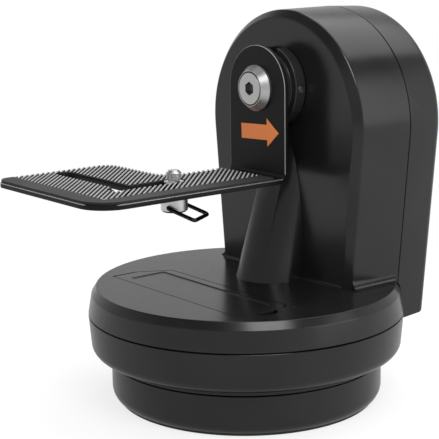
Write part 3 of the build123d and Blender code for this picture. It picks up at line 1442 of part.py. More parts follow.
with BuildPart() as remote_socket:
    with BuildSketch(at_depth(board_y + board_t)):
        with Locations((remote_x, fitting_z)):
            Rectangle(2 * socket_r + 1, 2 * socket_r + 1)
    extrude(amount=-(back_inner_y - board_y - board_t))
    with BuildSketch(at_depth(back_inner_y)):
        with Locations((remote_x, fitting_z)):
            Circle(socket_r)
    extrude(amount=-(socket_face_y - back_inner_y))
    with BuildSketch(at_depth(socket_face_y)):
        with Locations((remote_x, fitting_z)):
            Circle(remote_bore_r)
    extrude(amount=2 * socket_r - 1, mode=Mode.SUBTRACT)
export(remote_socket.part, "remote_socket")
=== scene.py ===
"""Motorized pan tilt head: the looks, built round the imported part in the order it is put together."""
from math import cos, pi, radians, sin

import bmesh
import bpy
from mathutils import Matrix, Vector


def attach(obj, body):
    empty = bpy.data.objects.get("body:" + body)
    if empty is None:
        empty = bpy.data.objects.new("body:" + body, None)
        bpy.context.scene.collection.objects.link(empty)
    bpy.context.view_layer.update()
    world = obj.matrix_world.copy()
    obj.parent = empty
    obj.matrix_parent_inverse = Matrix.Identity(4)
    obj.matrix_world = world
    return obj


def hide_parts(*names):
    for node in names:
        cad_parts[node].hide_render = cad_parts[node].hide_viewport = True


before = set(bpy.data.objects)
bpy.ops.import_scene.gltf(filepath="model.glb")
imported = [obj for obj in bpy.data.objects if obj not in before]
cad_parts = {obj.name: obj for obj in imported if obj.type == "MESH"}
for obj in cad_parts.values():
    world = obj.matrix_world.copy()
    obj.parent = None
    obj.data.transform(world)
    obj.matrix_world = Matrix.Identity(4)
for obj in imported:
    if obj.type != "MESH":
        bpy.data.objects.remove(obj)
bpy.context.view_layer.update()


# Foot drum: the round tub that stays still while the head turns on it.
# It is injection moulded in black ABS with a fine spark-eroded grain, and its lower edge is
# rounded off so that it clears the tripod's plate.
mm, weld = 0.001, 1e-6
drum_r, drum_low_r, drum_low_z, drum_round_z, drum_top_z = 56.8, 54.2, 1.0, 5.3, 16.9
drum_wall, drum_floor, lip_round = 2.6, 3.0, 0.35
# Points of the drum's rounded edge: how far in from its wall, and how high.
drum_curve = ((1.1, 2.2), (0.35, 3.6))


class Wire:
    """A value inside a finish. Arithmetic on it adds the Math nodes that work it out."""

    def __init__(self, finish, socket):
        self.finish, self.socket = finish, socket

    def sum(self, operation, *values):
        """Adds a Math node for values or wires."""
        return self.finish.node("ShaderNodeMath", {"operation": operation}, dict(enumerate(values)))

    def __add__(self, other):
        return self.sum("ADD", self, other)

    def __sub__(self, other):
        return self.sum("SUBTRACT", self, other)

    def __rsub__(self, other):
        return self.sum("SUBTRACT", other, self)

    def __mul__(self, other):
        return self.sum("MULTIPLY", self, other)

    def __pow__(self, other):
        return self.sum("POWER", self, other)

    __radd__ = __add__
    __rmul__ = __mul__


class Finish:
    """One surface of the head: a material whose nodes read the place on the object in metres."""

    def __init__(self, name, settings=None):
        self.material = bpy.data.materials.new(name)
        self.material.use_nodes = True
        self.tree = self.material.node_tree
        self.shader = self.tree.nodes["Principled BSDF"]
        for socket, value in (settings or {}).items():
            self.shader.inputs[socket].default_value = value
        self.place = self.node("ShaderNodeTexCoord", output="Object")

    def node(self, kind, settings=None, inputs=None, output=0):
        """Adds any node: its type, its settings first, then its inputs as values or wires."""
        made = self.tree.nodes.new(kind)
        for name, value in (settings or {}).items():
            setattr(made, name, value)
        for socket, value in (inputs or {}).items():
            self.feed(made.inputs[socket], value)
        return Wire(self, made.outputs[output])

    def feed(self, socket, value):
        """Gives a socket its value, or links a wire to it."""
        if isinstance(value, Wire):
            self.tree.links.new(value.socket, socket)
        else:
            socket.default_value = value

    def along(self, axis):
        """The place along one axis, in metres."""
        return self.node("ShaderNodeSeparateXYZ", None, {0: self.place}, output=axis)

    def noise(self, scale, detail, stretch=None, roughness=0.5):
        """Noise of so many grains to a metre, from 0 to 1, drawn out along an axis where asked."""
        place = self.place
        if stretch:
            place = self.node("ShaderNodeMapping", {"vector_type": "POINT"},
                              {"Vector": place, "Scale": stretch})
        return self.node("ShaderNodeTexNoise", None,
                         {"Vector": place, "Scale": scale, "Detail": detail, "Roughness": roughness})

    def ramp(self, value, low, high):
        """0 below low, 1 above high, straight between."""
        return self.node("ShaderNodeMapRange", {"clamp": True},
                         {"Value": value, "From Min": low, "From Max": high})

    def past(self, value, levels):
        """0 before the first of two levels in millimetres, 1 past the second."""
        return self.ramp(value, levels[0] * mm, levels[1] * mm)

    def mix(self, mask, first, second):
        """Goes from the first colour to the second as the mask goes from 0 to 1."""
        return self.node("ShaderNodeMix", {"data_type": "RGBA"}, {0: mask, 6: first, 7: second}, output=2)

    def colour(self, mask, first, second):
        self.feed(self.shader.inputs["Base Color"], self.mix(mask, first, second))

    def roughness(self, value):
        self.feed(self.shader.inputs["Roughness"], value)

    def relief(self, height, depth, under=None):
        """Raises the surface by the height times the depth in metres."""
        inputs = {"Height": height, "Distance": depth, "Strength": 1.0}
        if under:
            inputs["Normal"] = under
        bump = self.node("ShaderNodeBump", None, inputs)
        self.feed(self.shader.inputs["Normal"], bump)
        return bump


def moulded(name, dark, light, gloss):
    """Black ABS: eroded grain, faint flow marks and greasy patches where hands go."""
    grain_deep, flow_deep = 0.00001, 0.00006
    made = Finish(name)
    cloud = made.noise(38, 4)
    dust = made.ramp(made.noise(420, 3, roughness=0.7), 0.58, 0.78)
    made.colour(made.ramp(cloud, 0.3, 0.7) * 0.6 + dust * 0.25, dark, light)
    made.roughness(gloss + cloud * 0.1 + dust * 0.08)
    grain = made.relief(made.noise(2600, 2), grain_deep)
    made.relief(made.noise(90, 2), flow_deep, under=grain)
    return made


black_abs = moulded("black_abs", (0.006, 0.006, 0.0063, 1), (0.012, 0.012, 0.0123, 1), 0.17)


def turned(profile, centre=(0, 0, 0), axis="Z", steps=144):
    """Spins a closed half section of (radius, height) points in millimetres about an axis."""
    shape = bmesh.new()
    corners = [shape.verts.new((radius * mm, 0, height * mm)) for radius, height in profile]
    rim = [shape.edges.new((a, b)) for a, b in zip(corners, corners[1:] + corners[:1])]
    bmesh.ops.spin(shape, geom=corners + rim, cent=(0, 0, 0), axis=(0, 0, 1), angle=2 * pi, steps=steps,
                   use_merge=True)
    bmesh.ops.remove_doubles(shape, verts=shape.verts, dist=weld)
    slivers = [edge for edge in shape.edges if not edge.link_faces]
    bmesh.ops.delete(shape, geom=slivers, context="EDGES")
    if axis == "Y":
        bmesh.ops.rotate(shape, verts=shape.verts, matrix=Matrix.Rotation(-pi / 2, 3, "X"))
    bmesh.ops.translate(shape, verts=shape.verts, vec=Vector(centre) * mm)
    bmesh.ops.recalc_face_normals(shape, faces=shape.faces)
    return shape


def soften(shape, width, where=lambda edge: True, segments=3, sharper_than=28):
    """Rounds the sharp edges that a test picks, by a width in millimetres."""
    sharp = [edge for edge in shape.edges
             if len(edge.link_faces) == 2 and edge.calc_face_angle() > radians(sharper_than) and where(edge)]
    bmesh.ops.bevel(shape, geom=sharp, offset=width * mm, offset_type="OFFSET", segments=segments,
                    profile=0.5, affect="EDGES", material=-1, clamp_overlap=True)


def middle(edge):
    """The middle of an edge, in millimetres."""
    return (edge.verts[0].co + edge.verts[1].co) / (2 * mm)


def fit(shape, name, finish, slot, body, *nodes, crease=32):
    """Makes a finished shape an object that rides on a body and stands for some of the part's nodes."""
    for face in shape.faces:
        face.smooth = True
    for edge in shape.edges:
        edge.smooth = edge.calc_face_angle(0) < radians(crease)
    mesh = bpy.data.meshes.new(name)
    shape.to_mesh(mesh)
    shape.free()
    mesh.materials.append(finish.material)
    piece = bpy.data.objects.new(name, mesh)
    bpy.context.scene.collection.objects.link(piece)
    even = piece.modifiers.new("even_shading", "WEIGHTED_NORMAL")
    even.keep_sharp = True
    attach(piece, body)
    if nodes:
        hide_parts(*nodes)


drum = turned([(0, drum_low_z), (drum_low_r, drum_low_z)] +
              [(drum_r - inwards, height) for inwards, height in drum_curve] +
              [(drum_r, drum_round_z), (drum_r, drum_top_z), (drum_r - drum_wall, drum_top_z),
               (drum_r - drum_wall, drum_low_z + drum_floor), (0, drum_low_z + drum_floor)])
soften(drum, lip_round, lambda edge: middle(edge).z > drum_top_z - 1)
fit(drum, "foot_drum", black_abs, "housing_black", "base", "base_drum")


# Foot ring and tripod bush: what the head stands on and what a tripod screws into.
# The ring is a strip of black rubber pressed into a groove under the drum. The bush is turned brass
# with a quarter inch thread, pressed in from below.
ring_out_r, ring_in_r, ring_top_z, ring_round = 54.0, 47.3, 2.4, 0.4
bush_r, bush_l, bush_flange_r, bush_flange_t, bush_end_t, bush_mouth_r = 6.0, 11.0, 8.5, 1.0, 1.0, 3.1
bore_r, thread_pitch, thread_deep, thread_start, thread_steps = 2.6, 1.27, 0.35, 0.4, 15


def bright(name, dark, light, gloss, lines=None, scale=900):
    """Bare metal with fine tool marks, drawn out along the axis that the lines leave out."""
    made = Finish(name, {"Metallic": 1.0})
    marks = made.noise(scale, 3, stretch=lines)
    made.colour(made.ramp(marks, 0.3, 0.7), dark, light)
    made.roughness(gloss + marks * 0.14)
    made.relief(marks, 0.000006)
    return made


foot_rubber = Finish("foot_rubber")
grit = foot_rubber.noise(60, 5)
foot_rubber.colour(foot_rubber.ramp(grit, 0.35, 0.7), (0.012, 0.012, 0.012, 1), (0.025, 0.025, 0.025, 1))
foot_rubber.roughness(0.6 + grit * 0.25)
foot_rubber.relief(foot_rubber.noise(1900, 3), 0.00002)
turned_brass = bright("turned_brass", (0.52, 0.36, 0.13, 1), (0.72, 0.53, 0.24, 1), 0.24, (1, 1, 9))
foot = turned([(ring_out_r, 0), (ring_out_r, ring_top_z), (ring_in_r, ring_top_z), (ring_in_r, 0)])
soften(foot, ring_round, lambda edge: middle(edge).z < ring_top_z / 2)
fit(foot, "foot_ring_rubber", foot_rubber, "foot_rubber", "base", "foot_ring")

thread = [(bore_r + thread_deep * (step % 2), thread_start + step * thread_pitch / 2)
          for step in range(thread_steps)]
bush = turned([(bush_flange_r, 0), (bush_flange_r, bush_flange_t), (bush_r, bush_flange_t), (bush_r, bush_l),
               (0, bush_l), (0, bush_l - bush_end_t), (bore_r, bush_l - bush_end_t)] + thread[::-1] +
              [(bush_mouth_r, 0)], steps=48)
fit(bush, "tripod_socket_bush", turned_brass, "brass", "base", "tripod_bush", crease=50)


# Pan bearing and its big gear, inside the drum.
# The gear is cut from natural acetal and screwed to three posts; a washer, a steel retainer and
# one screw hold the turning base on the hub.
def dress(finish, *nodes):
    """Gives a finish to nodes that stay as they are."""
    for node in nodes:
        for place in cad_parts[node].material_slots:
            place.material = finish.material


acetal = Finish("natural_acetal")
acetal_cloud = acetal.noise(120, 3)
acetal.colour(acetal_cloud, (0.62, 0.6, 0.53, 1), (0.76, 0.74, 0.68, 1))
acetal.roughness(0.36 + acetal_cloud * 0.2)
acetal.relief(acetal.noise(1400, 2), 0.00001)
zinc = bright("zinc_plate", (0.36, 0.37, 0.39, 1), (0.56, 0.56, 0.58, 1), 0.26, scale=500)
ground_steel = bright("ground_steel", (0.3, 0.3, 0.31, 1), (0.5, 0.5, 0.51, 1), 0.24, (6, 1, 6))
dress(acetal, "pan_gear", "pan_washer")
dress(zinc, "pan_gear_screws", "pan_retainer_screw")
dress(ground_steel, "pan_retainer")


# Lower housing: the shallow bowl that turns on the hub and carries the motor and the battery bay.
# One black ABS moulding; its narrow neck leaves the dark seam above the drum.
neck_z, neck_r, step_z, step_r, hub_bore_r = 17.3, 57.0, 19.8, 59.4, 9.05
wall_low_r, wall_low_z, groove_r, groove_z, shell, seam_round = 65.0, 24.8, 66.0, 36.6, 2.5, 0.45
bowl_top_z, cover_low_z = groove_z - 0.1, groove_z + 0.3
belly = [(step_r + (wall_low_r - step_r) * sin(radians(turn)),
          step_z + (wall_low_z - step_z) * (1 - cos(radians(turn)))) for turn in range(0, 91, 10)]
bowl = turned([(hub_bore_r, neck_z), (neck_r, neck_z), (neck_r, step_z)] + belly +
              [(groove_r, bowl_top_z), (groove_r - shell, bowl_top_z), (wall_low_r - shell, wall_low_z + 1),
               (step_r, step_z + shell), (neck_r, step_z + shell), (neck_r - shell, step_z),
               (hub_bore_r, step_z)], steps=180)
soften(bowl, seam_round, lambda edge: middle(edge).z > groove_z - 1 or middle(edge).xy.length > neck_r - 0.5
       and middle(edge).z < neck_z + 0.5)
fit(bowl, "lower_housing", black_abs, "housing_black", "turntable", "turntable_pan")


# Pan drive: a geared motor in drawn cans stands on the housing's floor, and its steel pinion
# reaches down to the big gear. Two screws through its ears hold it.
nickel_can = bright("nickel_can", (0.42, 0.42, 0.42, 1), (0.6, 0.6, 0.59, 1), 0.22, (1, 1, 14))
dress(nickel_can, "pan_gearbox", "pan_motor", "tilt_gearbox", "tilt_motor")
dress(ground_steel, "pan_pinion", "tilt_pinion")
dress(zinc, "floor_screws", "housing_screws")


# Battery bay: an open tub under the door with four cells in two layers.
# The tub is moulded in plain black plastic; its contacts are plated strip, and the cells have a
# plain printed sleeve with a light band at the button end.
tub_black = moulded("tub_black", (0.016, 0.016, 0.017, 1), (0.028, 0.028, 0.029, 1), 0.4)
strip = bright("plated_strip", (0.5, 0.48, 0.42, 1), (0.66, 0.64, 0.58, 1), 0.2)
sleeve = Finish("cell_sleeve")
from_middle = sleeve.along("X")
band = sleeve.past(from_middle.sum("ABSOLUTE", from_middle), (15.0, 15.2))
sleeve.colour(band, (0.035, 0.05, 0.12, 1), (0.55, 0.5, 0.36, 1))
sleeve.roughness(0.22 + sleeve.noise(200, 2) * 0.12)
dress(tub_black, "battery_holder")
dress(strip, "contact_plates", "contact_springs")
dress(sleeve, "battery_cells")


# Upper housing: the deck, the tower's front shell and the leaning duct for the wires.
# One black ABS moulding. The tower's front edge is chamfered, and small coves run along its foot.
# The deck is sunk where the battery door lies.
shoulder_r, shoulder_z, deck_r, deck_z = 64.5, 45.3, 62.4, 48.5
tower_r, tower_z, tower_lean, tower_draft = 47.2, 113.2, radians(5.5), 46.8 / 47.2
front_y, seam_y, edge_chamfer, side_cove, front_cove = 19.5, 48.5, 3.0, 4.0, 1.5
duct_foot, duct_foot_r, duct_top, duct_top_r = Vector((0, 13.9, 48.5)), 14.5, Vector((0, 34.0, 118.0)), 12.5
duct_bore_top, duct_root, tower_root, over = Vector((0, 34.0, 113.0)), 1.5, 2.0, 1.0
deck_round, chamfer_round, tilt_z, shaft_hole_r = 0.3, 0.6, 128.8, 5.6
door_left, door_right, door_front, door_back = -42.6, 42.4, -37.8, -12.6
door_cut, door_corner, door_t, door_gap = (8.0, 14.0), 3.0, 1.5, 0.4
bay_half, notch_r = (24.45, 10.9), 5.0


def tower_block(near_y, far_y, inset, low_z, near_scale=1.0, far_scale=1.0):
    """A block with the tower's outline: sides that lean in towards the foot, and a round top."""
    shape = bmesh.new()
    radius = tower_r - inset
    foot_x = (radius + (low_z - tower_z) * sin(tower_lean)) / cos(tower_lean)
    start = Vector((radius * cos(tower_lean), near_y, tower_z - radius * sin(tower_lean)))
    first = shape.verts.new(start * mm)
    bmesh.ops.spin(shape, geom=[first], cent=Vector((0, near_y, tower_z)) * mm, axis=(0, -1, 0),
                   angle=pi + 2 * tower_lean, steps=96)
    shape.verts.ensure_lookup_table()
    last = shape.verts[-1]
    feet = [shape.verts.new(Vector((x, near_y, low_z)) * mm) for x in (-foot_x, foot_x)]
    for pair in ((last, feet[0]), (feet[0], feet[1]), (feet[1], first)):
        shape.edges.new(pair)
    face = bmesh.ops.contextual_create(shape, geom=shape.edges[:])["faces"]
    near = list(face[0].verts)
    moved = bmesh.ops.extrude_face_region(shape, geom=face)["geom"]
    far = [point for point in moved if isinstance(point, bmesh.types.BMVert)]
    bmesh.ops.translate(shape, verts=far, vec=(0, (far_y - near_y) * mm, 0))
    centre = Matrix.Translation(Vector((0, 0, tower_z)) * -mm)
    bmesh.ops.scale(shape, verts=near, vec=(near_scale, 1, near_scale), space=centre)
    bmesh.ops.scale(shape, verts=far, vec=(far_scale, 1, far_scale), space=centre)
    bmesh.ops.recalc_face_normals(shape, faces=shape.faces)
    return shape


def combine(shape, other, operation="DIFFERENCE"):
    """Cuts one closed shape out of another, or joins the two."""
    pair = []
    for each in (shape, other):
        mesh = bpy.data.meshes.new("blank")
        each.to_mesh(mesh)
        each.free()
        pair.append(bpy.data.objects.new("blank", mesh))
        bpy.context.scene.collection.objects.link(pair[-1])
    tool = pair[0].modifiers.new("tool", "BOOLEAN")
    tool.operation, tool.solver, tool.object = operation, "EXACT", pair[1]
    result = bmesh.new()
    result.from_object(pair[0], bpy.context.evaluated_depsgraph_get())
    for blank in pair:
        mesh = blank.data
        bpy.data.objects.remove(blank)
        bpy.data.meshes.remove(mesh)
    bmesh.ops.dissolve_limit(result, angle_limit=radians(0.5), verts=result.verts, edges=result.edges)
    return result


def leaning(foot, foot_radius, top, top_radius, low_z):
    """A round duct whose level sections shift as it rises, carried down to a level below its foot."""
    shape = bmesh.new()
    reach = (low_z - foot.z) / (top.z - foot.z)
    bottom, bottom_radius = foot.lerp(top, reach), foot_radius + (top_radius - foot_radius) * reach
    bmesh.ops.create_cone(shape, cap_ends=True, segments=72, radius1=bottom_radius * mm,
                          radius2=top_radius * mm, depth=(top.z - low_z) * mm)
    bmesh.ops.translate(shape, verts=shape.verts, vec=(bottom + top) * mm / 2)
    lean = (top - bottom).y * mm / 2
    for vert in shape.verts:
        vert.co.y += lean if vert.co.z > (top.z - 1) * mm else -lean
    return shape


def plate(corners, low_z, high_z):
    """A level slab from its corners in plan."""
    shape = bmesh.new()
    outline = [shape.verts.new((x * mm, y * mm, low_z * mm)) for x, y in corners]
    face = shape.faces.new(outline)
    risen = bmesh.ops.extrude_face_region(shape, geom=[face])["geom"]
    bmesh.ops.translate(shape, verts=[point for point in risen if isinstance(point, bmesh.types.BMVert)],
                        vec=(0, 0, (high_z - low_z) * mm))
    bmesh.ops.recalc_face_normals(shape, faces=shape.faces)
    return shape


def block(left, right, front, back, low_z, high_z):
    """A level slab with four square corners."""
    return plate([(left, front), (right, front), (right, back), (left, back)], low_z, high_z)


def disc(centre, radius, low, high, axis="Z", sides=48):
    """A plain round or many-sided blank between two levels, along Z, Y or X."""
    shape = bmesh.new()
    bmesh.ops.create_cone(shape, cap_ends=True, segments=sides, radius1=radius * mm, radius2=radius * mm,
                          depth=(high - low) * mm)
    if axis != "Z":
        turn = Matrix.Rotation(-pi / 2, 3, "X") if axis == "Y" else Matrix.Rotation(pi / 2, 3, "Y")
        bmesh.ops.rotate(shape, verts=shape.verts, matrix=turn)
    place = {"Z": (centre[0], centre[1], (low + high) / 2), "Y": (centre[0], (low + high) / 2, centre[1]),
             "X": ((low + high) / 2, centre[0], centre[1])}[axis]
    bmesh.ops.translate(shape, verts=shape.verts, vec=Vector(place) * mm)
    return shape


def door_plan(grow):
    """Corners of the battery door, with its far left corner cut off."""
    left, right = door_left - grow, door_right + grow
    front, back = door_front - grow, door_back + grow
    return [(left, front), (right - door_corner, front), (right, front + door_corner),
            (right, back - door_corner), (right - door_corner, back), (left + door_cut[0], back),
            (left, back - door_cut[1])]


cover = turned([(0, deck_z), (deck_r, deck_z), (shoulder_r, shoulder_z), (groove_r, cover_low_z),
                (groove_r - shell, cover_low_z), (shoulder_r - shell, shoulder_z),
                (deck_r - shell, deck_z - shell), (0, deck_z - shell)], steps=180)
soften(cover, deck_round, lambda edge: middle(edge).z > shoulder_z - 0.1
       and middle(edge).xy.length > deck_r - 0.6, sharper_than=15)
soften(cover, seam_round, lambda edge: middle(edge).z < groove_z + 1)
tower = tower_block(front_y, seam_y, 0, deck_z - tower_root, near_scale=tower_draft)
soften(tower, edge_chamfer, lambda edge: middle(edge).y < front_y + 0.1
       and middle(edge).z > deck_z, segments=1)
soften(tower, chamfer_round, lambda edge: middle(edge).y < front_y + edge_chamfer + 1
       and middle(edge).z > deck_z, segments=2)
soften(tower, lip_round, lambda edge: middle(edge).y > seam_y - 0.1 and middle(edge).z > deck_z, segments=2)
cover = combine(cover, tower, "UNION")
foot_x = (tower_r + (deck_z - tower_z) * sin(tower_lean)) / cos(tower_lean)
for side in (-1, 1):
    near, far = side * (foot_x - over), side * (foot_x + side_cove)
    cove = block(near, far, front_y + edge_chamfer, seam_y, deck_z - over, deck_z + side_cove)
    cove = combine(cove, disc((far, deck_z + side_cove), side_cove, front_y, seam_y + over, axis="Y",
                              sides=96))
    cove = combine(cove, disc((0, 0), deck_r, deck_z - 2 * over, deck_z + side_cove + over, sides=180),
                   "INTERSECT")
    cover = combine(cover, cove, "UNION")
half = foot_x - edge_chamfer
cove = block(-half, half, front_y - front_cove, front_y + over, deck_z - over, deck_z + front_cove)
cove = combine(cove, disc((front_y - front_cove, deck_z + front_cove), front_cove, -half - over, half + over,
                          axis="X", sides=96))
cover = combine(cover, cove, "UNION")
cover = combine(cover, leaning(duct_foot, duct_foot_r, duct_top, duct_top_r, deck_z - duct_root), "UNION")
cover = combine(cover, tower_block(front_y + shell, seam_y + over, shell, shoulder_z, near_scale=tower_draft))
cover = combine(cover, leaning(duct_foot, duct_foot_r - shell, duct_bore_top, duct_top_r - shell,
                               deck_z - shell - over))
cover = combine(cover, plate(door_plan(door_gap), deck_z - door_t, deck_z + over))
bay_y = (door_front + door_back) / 2
cover = combine(cover, disc((door_right, bay_y), notch_r, deck_z - door_t, deck_z + over))
cover = combine(cover, block(-bay_half[0], bay_half[0], bay_y - bay_half[1], bay_y + bay_half[1],
                             deck_z - shell - over, deck_z))
cover = combine(cover, disc((0, tilt_z), shaft_hole_r, front_y - over, front_y + shell + over, axis="Y"))
fit(cover, "upper_housing", black_abs, "housing_black", "turntable", "turntable_cover")


# Rear cover: the back shell of the tower, which hangs down behind the turning base.
# One black ABS moulding with drafted sides and a rounded back edge, held by four sunk screws. The
# sockets for the power plug and the cable remote sit in two holes in it.
back_y, back_low_z, back_round, back_scale, seam_gap, skin_gap = 68.0, 30.2, 4.0, 46.55 / 47.2, 0.3, 0.4
back_screws = ((-35.0, 68.0), (35.0, 68.0), (-33.0, 135.0), (33.0, 135.0))
screw_sink, screw_seat_r, socket_r, socket_x, socket_z, hole_round = 8.0, 3.2, 4.1, (-14.1, 0.0), 66.0, 0.3
back = tower_block(seam_y + seam_gap, back_y, 0, back_low_z, far_scale=back_scale)
soften(back, back_round, lambda edge: middle(edge).y > back_y - 0.1, segments=6)
soften(back, lip_round, lambda edge: middle(edge).y < seam_y + 1, segments=2)
back = combine(back, tower_block(seam_y - over, back_y - shell, shell, back_low_z - 5 * over,
                                 far_scale=back_scale))
base_rim = turned([(0, neck_z), (step_r + skin_gap, neck_z), (step_r + skin_gap, step_z)] +
                  [(radius + skin_gap, height) for radius, height in belly[1:]] +
                  [(groove_r + skin_gap, groove_z), (shoulder_r + skin_gap, shoulder_z),
                   (deck_r + skin_gap, deck_z + skin_gap), (0, deck_z + skin_gap)], steps=180)
back = combine(back, base_rim)
for x, z in back_screws:
    back = combine(back, disc((x, z), screw_seat_r, back_y - screw_sink, back_y + over, axis="Y", sides=32))
for x in socket_x:
    back = combine(back, disc((x, socket_z), socket_r, back_y - shell - over, back_y + over, axis="Y",
                              sides=40))
soften(back, hole_round, lambda edge: middle(edge).y > back_y - 0.02, segments=2, sharper_than=60)
fit(back, "tower_rear_cover", black_abs, "housing_black", "turntable", "rear_cover")
dress(tub_black, "dc_inlet", "remote_socket")
dress(zinc, "rear_cover_screws")


# Circuit board behind the sockets: green solder resist with a darker lay of copper under it.
# Four screws hold it to the rear cover.
board = Finish("solder_resist")
lanes = board.node("ShaderNodeTexBrick", {"offset": 0.4},
                   {"Vector": board.place, "Scale": 260.0, "Color1": (0, 0, 0, 1), "Color2": (1, 1, 1, 1),
                    "Mortar": (0.4, 0.4, 0.4, 1)})
board.colour(lanes * 0.4 + board.noise(300, 3) * 0.5, (0.012, 0.07, 0.03, 1), (0.03, 0.15, 0.06, 1))
board.roughness(0.3 + lanes * 0.1)
dress(board, "circuit_board")
dress(zinc, "board_screws")


# Tilt drive and shaft: a steel plate on the front shell's posts carries the geared motor, whose pinion
# turns a white sector on the ground shaft. The shaft runs in two turned brass bushes.
dress(ground_steel, "tilt_frame", "tilt_stop_pins", "tilt_shaft", "shaft_clip", "sector_pin")
dress(zinc, "frame_screws", "tilt_gearbox_screws")
dress(acetal, "tilt_sector")
dress(turned_brass, "tilt_bush_front", "tilt_bush_back")


# Battery door: a loose flap flush with the deck, with a sunk bare panel and a finger notch at its right.
# A thin black ABS moulding; two hooks go under the deck at its left end and a catch holds the right.
panel_margin, panel_sink, panel_round, nose_round, door_round = (7.0, 3.8), 0.4, 0.8, 0.675, 0.25
hook_y, hook_half, hook_reach, hook_web, hook_low_z, hook_top_z = (-35.4, -29.0), 1.8, 3.0, 0.4, 44.5, 45.8
catch_half, catch_in, catch_out, catch_z, lip_reach = 4.0, 3.0, 1.2, 42.8, 0.6
door = plate(door_plan(0), deck_z - door_t, deck_z)
soften(door, nose_round, lambda edge: abs(middle(edge).x - door_left) < 0.01
       and abs(middle(edge).z - deck_z + door_t / 2) > 0.1, segments=4)
lip = block(door_right - over, door_right + lip_reach, bay_y - catch_half, bay_y + catch_half,
            deck_z - door_t, deck_z)
door = combine(door, lip, "UNION")
soften(door, door_round, lambda edge: middle(edge).z > deck_z - 0.01, segments=2, sharper_than=50)
sunk = block(door_left + panel_margin[0], door_right - panel_margin[0], door_front + panel_margin[1],
             door_back - panel_margin[1], deck_z - panel_sink, deck_z + over)
soften(sunk, panel_round, lambda edge: abs(middle(edge).z - deck_z) < 0.5, sharper_than=80)
door = combine(door, sunk)
for y in hook_y:
    web = block(door_left + hook_web, door_left + hook_reach, y - hook_half, y + hook_half,
                hook_low_z, deck_z - over)
    door = combine(door, web, "UNION")
    hook = block(door_left - hook_reach, door_left + hook_reach, y - hook_half, y + hook_half,
                 hook_low_z, hook_top_z)
    door = combine(door, hook, "UNION")
catch = block(door_right - catch_in, door_right - catch_out, bay_y - catch_half, bay_y + catch_half,
              catch_z, deck_z - over)
door = combine(door, catch, "UNION")
fit(door, "battery_flap", black_abs, "housing_black", "door_flap", "battery_door")


# Tilt hub: the stepped collar that clamps the bracket to the shaft, with a notch at its top.
# A satin black moulding; the small steel grub screw at the side bites on the shaft.
hub_disc_r, hub_rim_r, hub_front_y, hub_rim_y, hub_back_y, hub_hole_r = 14.0, 16.7, 9.1, 13.9, 19.2, 5.0
notch_half, notch_deep, grub_y, grub_r, grub_gap, grub_in, hub_round = 4.75, 3.2, 16.5, 1.5, 0.1, 4.0, 0.5
hub_black = moulded("hub_black", (0.014, 0.014, 0.0145, 1), (0.021, 0.021, 0.0215, 1), 0.24)
hub = turned([(hub_hole_r, hub_front_y), (hub_disc_r, hub_front_y), (hub_disc_r, hub_rim_y),
              (hub_rim_r, hub_rim_y), (hub_rim_r, hub_back_y), (hub_hole_r, hub_back_y)],
             centre=(0, 0, tilt_z), axis="Y", steps=120)
soften(hub, hub_round, lambda edge: abs(middle(edge).y - hub_front_y) > 0.2
       and (middle(edge) - Vector((0, middle(edge).y, tilt_z))).length > hub_disc_r - 0.5)
gap = block(-notch_half, notch_half, hub_rim_y - over, hub_back_y + over, tilt_z + hub_rim_r - notch_deep,
            tilt_z + hub_rim_r + over)
hub = combine(hub, gap)
hub = combine(hub, disc((grub_y, tilt_z), grub_r + grub_gap, grub_in, hub_rim_r + over, axis="X", sides=32))
fit(hub, "tilt_collar", hub_black, "hub_black", "tilt_arm", "tilt_hub")
dress(zinc, "grub_screw")


# Bracket: one strip of 2 mm steel, bent up at the back end of the camera platform, powder coated
# a satin charcoal, with a painted highlight in light grey along its near edges. Its upright leg has a
# round top, and two joined slots are cut in the platform.
bracket_y, bracket_t, bracket_half, bend_r = 7.1, 2.0, 17.5, 1.6
plate_z, plate_left, plate_front, plate_inner = 91.1, -58.7, -83.8, -27.2
near_r, far_r, swell_r, throat_r = 13.0, 6.0, 7.0, 9.0
slot_half, slot_x, slot_near, slot_far, cross_y, cross_end = 3.3, -6.0, -31.2, -59.0, -54.8, -50.7
plate_top, arm_round, seam_weld = plate_z + bracket_t, 0.25, 1e-5


def rounded(points, radii, low_z, high_z, segments=10):
    """A level slab whose upright edges are rounded, each by its own radius in millimetres."""
    shape = plate(points, low_z, high_z)
    for (x, y), radius in zip(points, radii):
        if radius:
            halfway = Vector((x, y, (low_z + high_z) / 2))
            upright = [edge for edge in shape.edges if (middle(edge) - halfway).length < 0.01]
            bmesh.ops.bevel(shape, geom=upright, offset=radius * mm, offset_type="OFFSET", segments=segments,
                            profile=0.5, affect="EDGES", material=-1)
    return shape


def table(inset, end_y, low_z, high_z):
    """The platform's outline in plan: a wide camera table that narrows to the bracket's width."""
    right, left, throat = bracket_half - inset, plate_left + inset, -bracket_half + inset
    front, inner = plate_front + inset, plate_inner - inset
    return rounded([(right, end_y), (right, front), (left, front), (left, inner), (throat, inner),
                    (throat, end_y)],
                   [0, near_r - inset, far_r - inset, swell_r - inset, throat_r + inset, 0], low_z, high_z)


def slotted(shape, half, low_z, high_z):
    """Cuts the two joined slots through a slab."""
    for start, end in (((slot_x, slot_near), (slot_x, slot_far)), ((slot_x, cross_y), (cross_end, cross_y))):
        sideways = Vector((end[1] - start[1], start[0] - end[0])).normalized() * half
        a, b = Vector(start), Vector(end)
        lane = [tuple(a + sideways), tuple(b + sideways), tuple(b - sideways), tuple(a - sideways)]
        shape = combine(shape, plate(lane, low_z, high_z))
        shape = combine(shape, disc(end, half, low_z, high_z))
    return combine(shape, disc((slot_x, slot_near), half, low_z, high_z))


